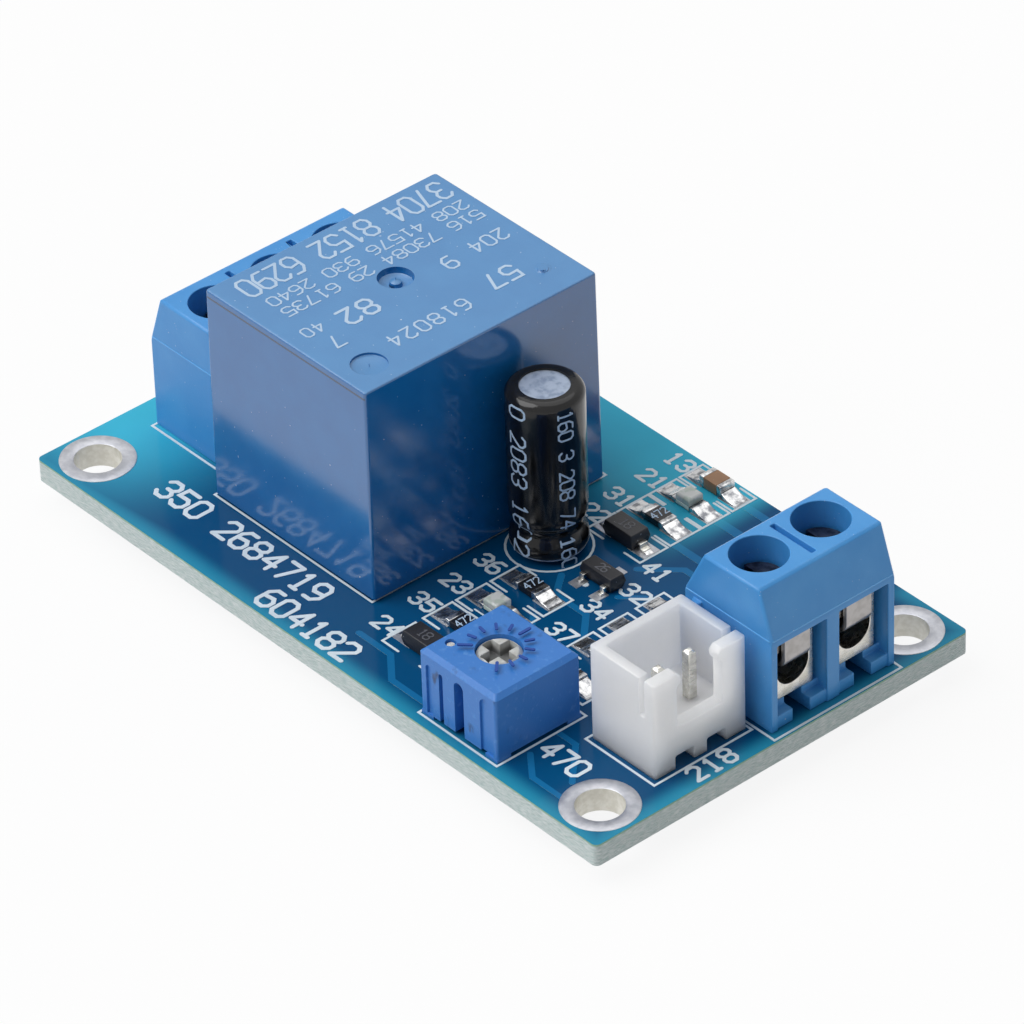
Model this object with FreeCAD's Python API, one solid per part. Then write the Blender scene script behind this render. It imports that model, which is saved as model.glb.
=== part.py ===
"""Light sensor relay module: a small circuit board with its parts soldered on.

Millimetres. X runs along the board's long edge, Y along its short edge and Z up. The origin
is under the board's centre, at the level of the trimmed lead tips that the module rests on.
Places on the board are given from its left edge and its near edge.
"""
import FreeCAD, Part
import math
import os

# Board
board_length = 53.5
board_width = 30.6
board_thickness = 1.6
board_corner_radius = 0.4
mounting_hole_inset_x = 2.75
mounting_hole_inset_y = 2.8
mounting_hole_radius = 1.55
hole_plating = 0.08
hole_ring_radius = 2.5
copper_height = 0.05
drill_gap = 0.15
small_round_sides = 10
ring_pad_sides = 24
lead_reach = 1.7
short_lead_reach = 1.4
solder_cone_height = 0.8
solder_cone_spread = 0.55
solder_cone_neck = 0.08
lead_grip_gap = 0.01

# Relay
relay_from_three_way = 0.87
relay_near = 5.81
relay_size_x = 15.5
relay_size_y = 19.0
relay_height = 15.6
relay_standoff = 0.25
relay_draft = 0.1
relay_corner_radius = 0.55
relay_top_bevel = 0.3
relay_base_thickness = 0.5
relay_base_inset = 0.3
relay_foot_size = 1.3
relay_foot_inset = 1.6
relay_vent_radius = 1.1
relay_vent_depth = 0.55
relay_vent_nub_radius = 0.45
relay_vent_nub_height = 0.4
relay_vent_offset_x = 0.5
relay_ejector_radius = 1.2
relay_ejector_depth = 0.12
relay_ejector_from_side = 2.35
relay_ejector_from_near = 2.35
relay_pin_width = 1.0
relay_pin_thickness = 0.5
relay_common_pin_from_near = 2.5
relay_coil_pin_offset = 2.0
relay_contact_pin_from_far = 2.3
relay_pin_from_side = 1.75

# Screw terminals, shared by the two-way and the three-way block
terminal_pitch = 5.08
terminal_depth = 7.7
terminal_height = 10.25
terminal_ledge_height = 7.0
terminal_top_front_inset = 1.1
terminal_top_back_inset = 1.7
terminal_edge_bevel = 0.15
terminal_partition = 1.03
terminal_window_height = 6.35
terminal_lip_thickness = 0.32
terminal_cavity_height = 6.85
terminal_cavity_depth = 5.1
terminal_screw_from_front = 3.8
terminal_screw_hole_radius = 1.85
terminal_groove_width = 0.4
terminal_groove_depth = 0.5
terminal_groove_end_gap = 0.6
terminal_foot_height = 0.95
terminal_foot_setback = 0.12
terminal_foot_gap = 1.4
terminal_rail_height = 1.4
terminal_rib_radius = 0.4
terminal_rib_from_front = 6.5
terminal_rib_gap = 0.08

# Wire clamps in the terminals
clamp_cage_width = 3.25
clamp_cage_from_front = 0.88
clamp_cage_depth = 4.0
clamp_cage_height = 4.4
clamp_plate_thickness = 0.9
clamp_wire_radius = 1.3
clamp_floor = 0.75
clamp_pin_size = 0.9
leaf_thickness = 0.35
leaf_width = 2.1
leaf_flange_gap = 0.1
leaf_flange_height = 2.35
leaf_bend_radius = 0.5
leaf_rest_lift = 1.6
leaf_tongue_length = 3.9
screw_shank_radius = 1.2
screw_thread_gap = 0.05
screw_tip_gap = 0.02
screw_head_radius = 1.65
screw_head_height = 1.25
screw_head_drop = 1.85
screw_slot_width = 0.5
screw_slot_depth = 0.55

# Where the terminals stand
two_way_from_right = 0.75
two_way_from_far = 5.54
two_way_poles = 2
three_way_front = 2.35
three_way_near = 7.95
three_way_poles = 3

# Two-pin plug header
header_from_right = 2.19
header_near = 6.72
header_size_x = 5.75
header_size_y = 7.44
header_height = 7.1
header_floor = 2.6
header_side_wall = 0.75
header_rear_wall = 0.7
header_front_wall = 0.9
header_window_width = 3.6
header_sill_height = 3.1
header_slot_width = 0.4
header_slot_bottom = 4.3
header_post_hook = 0.3
header_post_hook_height = 0.75
header_notch_width = 1.5
header_notch_height = 1.4
header_notch_depth = 1.2
header_notch_spacing = 2.55
header_edge_radius = 0.2
header_pin_pitch = 2.5
header_pin_size = 0.64
header_pin_from_left = 3.4
header_pin_top = 6.05
header_pin_point = 0.35

# Trimmer
trimmer_from_header = 1.96
trimmer_near = 0.91
trimmer_size_x = 6.99
trimmer_size_y = 6.74
trimmer_height = 4.97
trimmer_standoff = 0.25
trimmer_top_bevel = 0.3
trimmer_corner_radius = 0.2
trimmer_seat_radius = 1.5
trimmer_seat_depth = 1.9
trimmer_groove_top = 3.75
trimmer_foot_size = 1.1
rotor_running_gap = 0.05
rotor_height = 1.75
rotor_cross_width = 0.8
rotor_cross_depth = 0.9
rotor_cross_reach = 1.2
rotor_edge = 0.25
trimmer_lead_radius = 0.25
trimmer_lead_spread = 5.08
trimmer_lead_row = 2.54
trimmer_lead_from_left = 1.0
trimmer_lead_from_near = 1.67
trimmer_pip_radius = 0.36
trimmer_pip_depth = 0.3

# Electrolytic capacitor
capacitor_from_relay = 0.34
capacitor_y = 17.69
capacitor_lift = 0.5
capacitor_height = 11.9
capacitor_can_radius = 2.4
sleeve_thickness = 0.13
capacitor_shoulder = 0.55
crimp_height = 1.75
crimp_depth = 0.45
crimp_half_width = 0.75
sleeve_opening_radius = 1.65
sleeve_overlap_thickness = 0.13
capacitor_bung_radius = 1.7
capacitor_bung_height = 1.2
capacitor_lead_radius = 0.25
capacitor_lead_spacing = 2.0

# Small surface parts: two columns of chips across the board
first_column_from_capacitor = 2.79
column_spacing = 8.22
pad_spacing = 3.15
pad_length = 1.6
pad_width = 1.35
chip_length = 2.0
chip_width = 1.25
chip_height = 0.5
chip_end = 0.4
chip_seat = 0.03
led_height = 0.85
led_base_height = 0.3
led_lens_length = 1.25
led_lens_bevel = 0.12
ceramic_height = 0.8
diode_length = 2.7
diode_width = 1.65
diode_height = 1.1
diode_draft = 0.12
diode_lead_width = 0.6
diode_lead_thickness = 0.15
diode_lead_reach = 0.6
diode_lead_exit = 0.5
transistor_from_capacitor = 5.08
transistor_y = 17.63
transistor_length = 2.9
transistor_width = 1.3
transistor_height = 1.0
transistor_lead_pitch = 0.95
transistor_lead_width = 0.4
transistor_lead_reach = 0.55
transistor_pad_length = 1.0
transistor_pad_width = 0.8
solder_fillet_height = 0.42
solder_hollow_reach = 0.4
solder_hollow_level = 0.4

# Rows of the small parts: the first of each pair of lists is from the far edge, the other from the near edge
ceramic_from_far = 1.3
led_from_far = 3.65
resistor_from_far = 6.23
diode_from_far = 8.95
led_from_near = 10.96
diode_from_near = 5.1
resistors_from_near = (13.8, 8.2)
second_column_resistors = (18.4, 15.4, 12.5, 9.6)

# Worked out levels and helpers
board_bottom = lead_reach
board_top = board_bottom + board_thickness
UP = FreeCAD.Vector(0, 0, 1)

# Places that follow from the sizes of the neighbours
relay_left = three_way_front + terminal_depth + relay_from_three_way
capacitor_x = relay_left + relay_size_x + capacitor_from_relay + capacitor_can_radius + sleeve_thickness
first_column_x = capacitor_x + first_column_from_capacitor
second_column_x = first_column_x + column_spacing
transistor_x = capacitor_x + transistor_from_capacitor
two_way_front = board_length - two_way_from_right
two_way_near = board_width - two_way_from_far - two_way_poles * terminal_pitch
header_left = board_length - header_from_right - header_size_x
trimmer_left = header_left - trimmer_from_header - trimmer_size_x
first_column_resistors = (board_width - resistor_from_far,) + resistors_from_near
led_rows = (board_width - led_from_far, led_from_near)
diode_rows = (board_width - diode_from_far, diode_from_near)
ceramic_row = board_width - ceramic_from_far


def point(x, y, z):
    """A place on the board, from its left and near edges; z is the height above its top."""
    return FreeCAD.Vector(x - board_length / 2, y - board_width / 2, board_top + z)


def box(x_low, x_high, y_low, y_high, z_low, z_high):
    """A block between two corners, in board coordinates."""
    return Part.makeBox(x_high - x_low, y_high - y_low, z_high - z_low, point(x_low, y_low, z_low))


def centred_box(x, y, size_x, size_y, z_low, z_high):
    return box(x - size_x / 2, x + size_x / 2, y - size_y / 2, y + size_y / 2, z_low, z_high)


def cylinder(x, y, radius, z_low, z_high):
    return Part.makeCylinder(radius, z_high - z_low, point(x, y, z_low), UP)


def edges_along(shape, direction):
    """The straight edges of a shape that run along one axis."""
    found = []
    for edge in shape.Edges:
        if not isinstance(edge.Curve, Part.Line):
            continue
        run = edge.Vertexes[-1].Point - edge.Vertexes[0].Point
        if abs(run.normalize().dot(direction)) > 0.999:
            found.append(edge)
    return found


def edges_at_height(shape, z):
    """The edges of a shape that lie flat at one height above the board."""
    level = board_top + z
    found = []
    for edge in shape.Edges:
        bounds = edge.BoundBox
        if abs(bounds.ZMin - level) < 1e-4 and abs(bounds.ZMax - level) < 1e-4:
            found.append(edge)
    return found


def prism(outline, extrusion):
    """Extrude a closed outline of points."""
    return Part.Face(Part.makePolygon(outline + outline[:1])).extrude(extrusion)


def save(name, shapes):
    """Write one piece, or a group of separate solids, as its own file."""
    if not isinstance(shapes, list):
        shapes = [shapes]
    solids = []
    for shape in shapes:
        solids.extend(shape.Solids)
    Part.makeCompound(solids).exportStep("parts/" + name + ".step")


def many_sided(x, y, radius, sides, z_low, z_high):
    """An upright post or hole with flat sides, for small round things that there are many of."""
    outline = Part.makePolygon(closed(ring_of_points(x, y, radius, sides, z_low)))
    return Part.Face(outline).extrude(UP * (z_high - z_low))


def ring_of_points(x, y, radius, sides, z):
    corners = []
    for step in range(sides):
        angle = 2 * math.pi * (step + 0.5) / sides
        corners.append(point(x + radius * math.cos(angle), y + radius * math.sin(angle), z))
    return corners


def closed(corners):
    return corners + corners[:1]


def tapered_post(x, y, low_radius, high_radius, sides, z_low, z_high):
    """A many-sided cone with its top cut off, built from its flat faces."""
    lower = ring_of_points(x, y, low_radius, sides, z_low)
    upper = ring_of_points(x, y, high_radius, sides, z_high)
    faces = [Part.Face(Part.makePolygon(closed(lower))), Part.Face(Part.makePolygon(closed(upper)))]
    for side in range(sides):
        after = (side + 1) % sides
        corners = [lower[side], lower[after], upper[after], upper[side]]
        faces.append(Part.Face(Part.makePolygon(closed(corners))))
    return Part.makeSolid(Part.makeShell(faces))


# Leads: every lead that passes through the board, as (x, y, size_x, size_y, round)

def round_lead(x, y, radius):
    return (x, y, 2 * radius, 2 * radius, True)


def flat_lead(x, y, size_x, size_y):
    return (x, y, size_x, size_y, False)


def lead_solid(lead, z_low, z_high, grow=0.0):
    x, y, size_x, size_y, is_round = lead
    if is_round:
        return many_sided(x, y, size_x / 2 + grow, small_round_sides, z_low, z_high)
    return centred_box(x, y, size_x + 2 * grow, size_y + 2 * grow, z_low, z_high)


def drill_radius(lead):
    x, y, size_x, size_y, is_round = lead
    if is_round:
        return size_x / 2 + drill_gap
    return math.hypot(size_x, size_y) / 2 + drill_gap


relay_centre_x = relay_left + relay_size_x / 2
relay_centre_y = relay_near + relay_size_y / 2
relay_pin_row = relay_near + relay_common_pin_from_near


def relay_pin(offset_x, offset_y):
    return flat_lead(relay_centre_x + offset_x, relay_pin_row + offset_y, relay_pin_width, relay_pin_thickness)


relay_pin_spread = relay_size_x / 2 - relay_pin_from_side
relay_contact_pin_offset = relay_size_y - relay_common_pin_from_near - relay_contact_pin_from_far
relay_leads = [relay_pin(0, 0)]
for side in (-1, 1):
    relay_leads.append(relay_pin(side * relay_pin_spread, relay_coil_pin_offset))
    relay_leads.append(relay_pin(side * relay_pin_spread, relay_contact_pin_offset))

two_way_length = two_way_poles * terminal_pitch
three_way_length = three_way_poles * terminal_pitch
two_way_leads = []
for pole in range(two_way_poles):
    pole_y = two_way_near + (pole + 0.5) * terminal_pitch
    pin_x = two_way_front - terminal_screw_from_front
    two_way_leads.append(flat_lead(pin_x, pole_y, clamp_pin_size, clamp_pin_size))
three_way_leads = []
for pole in range(three_way_poles):
    pole_y = three_way_near + (pole + 0.5) * terminal_pitch
    pin_x = three_way_front + terminal_screw_from_front
    three_way_leads.append(flat_lead(pin_x, pole_y, clamp_pin_size, clamp_pin_size))

header_centre_y = header_near + header_size_y / 2
header_leads = []
for side in (-1, 1):
    pin_y = header_centre_y + side * header_pin_pitch / 2
    header_leads.append(flat_lead(header_left + header_pin_from_left, pin_y, header_pin_size, header_pin_size))

trimmer_lead_x = trimmer_left + trimmer_lead_from_left
trimmer_lead_y = trimmer_near + trimmer_lead_from_near
trimmer_leads = [
    round_lead(trimmer_lead_x, trimmer_lead_y, trimmer_lead_radius),
    round_lead(trimmer_lead_x + trimmer_lead_spread / 2, trimmer_lead_y + trimmer_lead_row, trimmer_lead_radius),
    round_lead(trimmer_lead_x + trimmer_lead_spread, trimmer_lead_y, trimmer_lead_radius),
]

capacitor_leads = []
for side in (-1, 1):
    lead_y = capacitor_y + side * capacitor_lead_spacing / 2
    capacitor_leads.append(round_lead(capacitor_x, lead_y, capacitor_lead_radius))

all_leads = relay_leads + two_way_leads + three_way_leads + header_leads + trimmer_leads + capacitor_leads


# The board with its plated mounting holes

mounting_holes = []
for side_x in (-1, 1):
    for side_y in (-1, 1):
        mounting_holes.append((board_length / 2 + side_x * (board_length / 2 - mounting_hole_inset_x),
                               board_width / 2 + side_y * (board_width / 2 - mounting_hole_inset_y)))


def make_board():
    board = box(0, board_length, 0, board_width, -board_thickness, 0)
    board = board.makeFillet(board_corner_radius, edges_along(board, UP))
    holes = []
    for hole_x, hole_y in mounting_holes:
        holes.append(cylinder(hole_x, hole_y, mounting_hole_radius + hole_plating, -board_thickness, 0))
    for lead in all_leads:
        holes.append(many_sided(lead[0], lead[1], drill_radius(lead), small_round_sides, -board_thickness, 0))
    return board.cut(holes)


def make_hole_rings():
    rings = []
    bottom = -board_thickness - copper_height
    for hole_x, hole_y in mounting_holes:
        barrel = cylinder(hole_x, hole_y, mounting_hole_radius + hole_plating, bottom, copper_height)
        top_pad = many_sided(hole_x, hole_y, hole_ring_radius, ring_pad_sides, 0, copper_height)
        bottom_pad = many_sided(hole_x, hole_y, hole_ring_radius, ring_pad_sides, bottom, -board_thickness)
        ring = barrel.fuse([top_pad, bottom_pad])
        rings.append(ring.cut(cylinder(hole_x, hole_y, mounting_hole_radius, bottom, copper_height)).removeSplitter())
    return rings


def make_solder_joint(lead):
    """The solder round one lead under the board: a cone with the lead's hole in it."""
    neck = math.hypot(lead[2], lead[3]) / 2 + solder_cone_neck
    foot = drill_radius(lead) + solder_cone_spread
    low = -board_thickness - solder_cone_height
    cone = tapered_post(lead[0], lead[1], neck, foot, small_round_sides, low, -board_thickness)
    return cone.cut(lead_solid(lead, low, -board_thickness, lead_grip_gap))


# The relay

def make_relay_cover():
    low = relay_standoff
    high = relay_standoff + relay_height
    outlines = []
    for level, inset in ((low, 0), (high - relay_top_bevel, relay_draft), (high, relay_draft + relay_top_bevel)):
        outlines.append(rounded_rectangle(relay_centre_x, relay_centre_y, relay_size_x - 2 * inset,
                                          relay_size_y - 2 * inset, relay_corner_radius, level))
    cover = Part.makeLoft(outlines, True, True)
    underside = centred_box(relay_centre_x, relay_centre_y, relay_size_x - 2 * relay_base_inset,
                            relay_size_y - 2 * relay_base_inset, low, low + relay_base_thickness)
    vent_x = relay_centre_x - relay_vent_offset_x
    vent = cylinder(vent_x, relay_centre_y, relay_vent_radius, high - relay_vent_depth, high)
    nub = Part.makeCone(relay_vent_nub_radius, relay_vent_nub_radius / 2, relay_vent_nub_height,
                        point(vent_x, relay_centre_y, high - relay_vent_depth), UP)
    ejector = cylinder(relay_left + relay_size_x - relay_ejector_from_side, relay_near + relay_ejector_from_near,
                       relay_ejector_radius, high - relay_ejector_depth, high)
    return cover.cut([underside, vent.cut(nub), ejector])


def rounded_rectangle(x, y, size_x, size_y, radius, z):
    """A closed wire of four sides and four corner arcs, centred on a place on the board."""
    half_x = size_x / 2
    half_y = size_y / 2
    diagonal = radius * (1 - math.sqrt(0.5))
    edges = []
    for turn in range(4):
        along, across = ((half_x, half_y), (half_y, half_x))[turn % 2]
        start = FreeCAD.Vector(along, -(across - radius), 0)
        end = FreeCAD.Vector(along, across - radius, 0)
        corner = FreeCAD.Vector(along - diagonal, across - diagonal, 0)
        after = FreeCAD.Vector(along - radius, across, 0)
        edges.append(Part.makeLine(start, end))
        edges.append(Part.Arc(end, corner, after).toShape())
        for edge in edges[-2:]:
            edge.rotate(FreeCAD.Vector(0, 0, 0), UP, 90 * turn)
    wire = Part.Wire(edges)
    wire.translate(point(x, y, z))
    return wire


def make_relay_base():
    """The potted underside with four small feet that hold it off the board."""
    size_x = relay_size_x - 2 * relay_base_inset
    size_y = relay_size_y - 2 * relay_base_inset
    base = centred_box(relay_centre_x, relay_centre_y, size_x, size_y, relay_standoff,
                       relay_standoff + relay_base_thickness)
    feet = []
    for side_x in (-1, 1):
        for side_y in (-1, 1):
            foot_x = relay_centre_x + side_x * (relay_size_x / 2 - relay_foot_inset)
            foot_y = relay_centre_y + side_y * (relay_size_y / 2 - relay_foot_inset)
            feet.append(centred_box(foot_x, foot_y, relay_foot_size, relay_foot_size, 0, relay_standoff))
    base = base.fuse(feet)
    pin_slots = [lead_solid(lead, 0, relay_standoff + relay_base_thickness, lead_grip_gap) for lead in relay_leads]
    return base.cut(pin_slots).removeSplitter()


def make_relay_pins():
    top = relay_standoff + relay_base_thickness
    return [lead_solid(lead, -board_thickness - lead_reach, top) for lead in relay_leads]


# Screw terminal blocks, built with their front at x = 0, their first end at y = 0 and the
# board's top at z = 0, then turned and moved to their place

def block(x_low, x_high, y_low, y_high, z_low, z_high):
    corner = FreeCAD.Vector(x_low, y_low, z_low)
    return Part.makeBox(x_high - x_low, y_high - y_low, z_high - z_low, corner)


def post(x, y, radius, z_low, z_high):
    return Part.makeCylinder(radius, z_high - z_low, FreeCAD.Vector(x, y, z_low), UP)


def pole_centre(pole):
    return (pole + 0.5) * terminal_pitch


window_half = (terminal_pitch - terminal_partition) / 2
foot_half_gap = terminal_foot_gap / 2


def make_terminal_housing(poles):
    length = poles * terminal_pitch
    profile = [
        FreeCAD.Vector(0, 0, 0),
        FreeCAD.Vector(0, 0, terminal_ledge_height),
        FreeCAD.Vector(terminal_top_front_inset, 0, terminal_height),
        FreeCAD.Vector(terminal_depth - terminal_top_back_inset, 0, terminal_height),
        FreeCAD.Vector(terminal_depth, 0, terminal_ledge_height),
        FreeCAD.Vector(terminal_depth, 0, 0),
    ]
    housing = prism(profile, FreeCAD.Vector(0, length, 0))
    outer_edges = [edge for edge in housing.Edges if edge.BoundBox.ZMax > terminal_ledge_height + 1e-3]
    housing = housing.makeChamfer(terminal_edge_bevel, outer_edges)
    cuts = []
    for pole in range(poles):
        centre = pole_centre(pole)
        cuts.append(block(0, terminal_lip_thickness, centre - window_half, centre + window_half,
                          0, terminal_window_height))
        cuts.append(block(terminal_lip_thickness, terminal_cavity_depth, centre - window_half,
                          centre + window_half, 0, terminal_cavity_height))
        cuts.append(post(terminal_screw_from_front, centre, terminal_screw_hole_radius,
                         terminal_rail_height + clamp_cage_height, terminal_height))
    groove_front = terminal_top_front_inset + terminal_groove_end_gap
    groove_back = terminal_depth - terminal_top_back_inset - terminal_groove_end_gap
    for pole in range(1, poles):
        middle = pole * terminal_pitch
        cuts.append(block(groove_front, groove_back, middle - terminal_groove_width / 2,
                          middle + terminal_groove_width / 2, terminal_height - terminal_groove_depth,
                          terminal_height))
    cuts.append(post(terminal_rib_from_front, 0, terminal_rib_radius + terminal_rib_gap,
                     0, terminal_ledge_height))
    housing = housing.cut(cuts)
    additions = [post(terminal_rib_from_front, length, terminal_rib_radius, 0,
                      terminal_ledge_height - terminal_rib_radius)]
    for pole in range(poles):
        centre = pole_centre(pole)
        for side in (-1, 1):
            inner = centre + side * foot_half_gap
            outer = centre + side * window_half
            low, high = sorted((inner, outer))
            additions.append(block(terminal_foot_setback, clamp_cage_from_front, low, high,
                                   0, terminal_foot_height))
            additions.append(block(clamp_cage_from_front, terminal_cavity_depth, low, high,
                                   0, terminal_rail_height))
    return housing.fuse(additions).removeSplitter()


def make_cage(centre):
    """A clamp cage on its rails: a block with a round-bottomed wire way, a threaded top and a pin."""
    front = clamp_cage_from_front
    back = front + clamp_cage_depth
    low = terminal_rail_height
    high = low + clamp_cage_height
    cage = block(front, back, centre - clamp_cage_width / 2, centre + clamp_cage_width / 2, low, high)
    wire_centre = low + clamp_floor + clamp_wire_radius
    wire_round = Part.makeCylinder(clamp_wire_radius, clamp_cage_depth,
                                   FreeCAD.Vector(front, centre, wire_centre), FreeCAD.Vector(1, 0, 0))
    wire_way = block(front, back, centre - clamp_wire_radius, centre + clamp_wire_radius,
                     wire_centre, high - clamp_plate_thickness)
    thread = post(terminal_screw_from_front, centre, screw_shank_radius + screw_thread_gap,
                  high - clamp_plate_thickness, high)
    cage = cage.cut([wire_round, wire_way, thread])
    pin = block(terminal_screw_from_front - clamp_pin_size / 2, terminal_screw_from_front + clamp_pin_size / 2,
                centre - clamp_pin_size / 2, centre + clamp_pin_size / 2, -board_thickness - lead_reach, low)
    return cage.fuse(pin).removeSplitter()


leaf_bottom = terminal_rail_height + clamp_floor + leaf_rest_lift


def make_leaf(centre):
    """The clamping leaf: a tongue under the screw and a flange that comes up in front of the cage."""
    flange_inner = clamp_cage_from_front - leaf_flange_gap
    flange_outer = flange_inner - leaf_thickness
    outer_bend = leaf_bend_radius + leaf_thickness
    bend_x = flange_inner + leaf_bend_radius
    bend_z = leaf_bottom + outer_bend
    top = leaf_bottom + leaf_flange_height
    end = clamp_cage_from_front + leaf_tongue_length
    slant = math.sqrt(0.5)

    def spot(x, z):
        return FreeCAD.Vector(x, centre - leaf_width / 2, z)

    outline = Part.Wire([
        Part.makeLine(spot(flange_inner, top), spot(flange_outer, top)),
        Part.makeLine(spot(flange_outer, top), spot(flange_outer, bend_z)),
        Part.Arc(spot(flange_outer, bend_z), spot(bend_x - outer_bend * slant, bend_z - outer_bend * slant),
                 spot(bend_x, leaf_bottom)).toShape(),
        Part.makeLine(spot(bend_x, leaf_bottom), spot(end, leaf_bottom)),
        Part.makeLine(spot(end, leaf_bottom), spot(end, leaf_bottom + leaf_thickness)),
        Part.makeLine(spot(end, leaf_bottom + leaf_thickness), spot(bend_x, leaf_bottom + leaf_thickness)),
        Part.Arc(spot(bend_x, leaf_bottom + leaf_thickness),
                 spot(bend_x - leaf_bend_radius * slant, bend_z - leaf_bend_radius * slant),
                 spot(flange_inner, bend_z)).toShape(),
        Part.makeLine(spot(flange_inner, bend_z), spot(flange_inner, top)),
    ])
    return Part.Face(outline).extrude(FreeCAD.Vector(0, leaf_width, 0))


def make_screw(centre):
    head_top = terminal_height - screw_head_drop
    head_low = head_top - screw_head_height
    tip = leaf_bottom + leaf_thickness + screw_tip_gap
    head = post(terminal_screw_from_front, centre, screw_head_radius, head_low, head_top)
    shank = post(terminal_screw_from_front, centre, screw_shank_radius, tip, head_low)
    slot = block(terminal_screw_from_front - screw_head_radius, terminal_screw_from_front + screw_head_radius,
                 centre - screw_slot_width / 2, centre + screw_slot_width / 2,
                 head_top - screw_slot_depth, head_top)
    return head.fuse(shank).removeSplitter().cut(slot)


def place_terminal(shape, front_x, end_y, turn):
    """Turn a terminal piece about its front corner and put that corner at its place."""
    placed = shape.copy()
    placed.rotate(FreeCAD.Vector(0, 0, 0), UP, turn)
    placed.translate(point(front_x, end_y, 0))
    return placed


def save_terminal(name, poles, front_x, end_y, turn):
    save(name + "_housing", place_terminal(make_terminal_housing(poles), front_x, end_y, turn))
    cages = []
    for pole in range(poles):
        centre = pole_centre(pole)
        number = str(pole + 1)
        cages.append(place_terminal(make_cage(centre), front_x, end_y, turn))
        save(name + "_leaf_" + number, place_terminal(make_leaf(centre), front_x, end_y, turn))
        save(name + "_screw_" + number, place_terminal(make_screw(centre), front_x, end_y, turn))
    save(name + "_clamps", cages)


# The plug header

def make_header_housing():
    right = header_left + header_size_x
    far = header_near + header_size_y
    housing = box(header_left, right, header_near, far, 0, header_height)
    housing = housing.makeFillet(header_edge_radius, edges_along(housing, UP))
    inner_near = header_near + header_side_wall
    inner_far = far - header_side_wall
    inner_front = right - header_front_wall
    cavity = box(header_left + header_rear_wall, inner_front, inner_near, inner_far, header_floor, header_height)
    window_near = header_centre_y - header_window_width / 2
    window_far = header_centre_y + header_window_width / 2
    window = box(inner_front, right, window_near, window_far, header_sill_height, header_height)
    hooks = []
    for side in (-1, 1):
        edge_y = header_centre_y + side * header_window_width / 2
        tip_y = edge_y - side * header_post_hook
        outline = [
            point(inner_front, edge_y, header_height),
            point(inner_front, tip_y, header_height - header_post_hook),
            point(inner_front, tip_y, header_height - header_post_hook_height),
            point(inner_front, edge_y, header_height - header_post_hook_height - header_post_hook),
        ]
        hooks.append(prism(outline, FreeCAD.Vector(header_front_wall, 0, 0)))
    slot_high = inner_front
    slot_low = slot_high - header_slot_width
    slots = [
        box(slot_low, slot_high, header_near, inner_near, header_slot_bottom, header_height),
        box(slot_low, slot_high, inner_far, far, header_slot_bottom, header_height),
    ]
    notches = []
    for side in (-1, 1):
        notch_y = header_centre_y + side * header_notch_spacing / 2
        notches.append(box(right - header_notch_depth, right, notch_y - header_notch_width / 2,
                           notch_y + header_notch_width / 2, 0, header_notch_height))
    pin_holes = [lead_solid(lead, 0, header_floor, lead_grip_gap) for lead in header_leads]
    housing = housing.cut([cavity, window] + slots + notches + pin_holes)
    return housing.fuse(hooks).removeSplitter()


def make_header_pins():
    pins = []
    for lead in header_leads:
        pin = lead_solid(lead, -board_thickness - short_lead_reach, header_pin_top)
        pins.append(pin.makeChamfer(header_pin_point / 2, edges_at_height(pin, header_pin_top)))
    return pins


# The trimmer

# Upright grooves in the trimmer's near side: start, width, depth
trimmer_grooves = (
    (0.55, 0.5, 0.15),
    (1.75, 0.35, 0.4),
    (3.15, 0.85, 0.9),
    (5.5, 1.15, 0.15),
)


def make_trimmer_housing():
    right = trimmer_left + trimmer_size_x
    far = trimmer_near + trimmer_size_y
    low = trimmer_standoff
    high = trimmer_height
    centre_x = trimmer_left + trimmer_size_x / 2
    centre_y = trimmer_near + trimmer_size_y / 2
    shoulder = high - trimmer_top_bevel
    foot_outline = rounded_rectangle(centre_x, centre_y, trimmer_size_x, trimmer_size_y, trimmer_corner_radius, low)
    shoulder_outline = foot_outline.copy()
    shoulder_outline.translate(UP * (shoulder - low))
    top_outline = rounded_rectangle(centre_x, centre_y, trimmer_size_x - 2 * trimmer_top_bevel,
                                    trimmer_size_y - 2 * trimmer_top_bevel, trimmer_corner_radius, high)
    body = Part.makeLoft([foot_outline, shoulder_outline, top_outline], True, True)
    cuts = []
    for start, width, depth in trimmer_grooves:
        middle = trimmer_left + start + width / 2
        cuts.append(centred_box(middle, trimmer_near + depth / 2, width, depth, low, trimmer_groove_top))
        arch = Part.makeCylinder(width / 2, depth, point(middle, trimmer_near, trimmer_groove_top),
                                 FreeCAD.Vector(0, 1, 0))
        cuts.append(arch)
    cuts.append(cylinder(centre_x, centre_y, trimmer_seat_radius, high - trimmer_seat_depth, high))
    pip = trimmer_leads[0]
    cuts.append(cylinder(pip[0], pip[1], trimmer_pip_radius, high - trimmer_pip_depth, high))
    cuts.append(lead_solid(pip, 0, high, lead_grip_gap))
    feet = []
    for foot_x in (trimmer_left, right - trimmer_foot_size):
        for foot_y in (trimmer_near, far - trimmer_foot_size):
            feet.append(box(foot_x, foot_x + trimmer_foot_size, foot_y, foot_y + trimmer_foot_size, 0, low))
    return body.fuse(feet).cut(cuts).removeSplitter()


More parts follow.
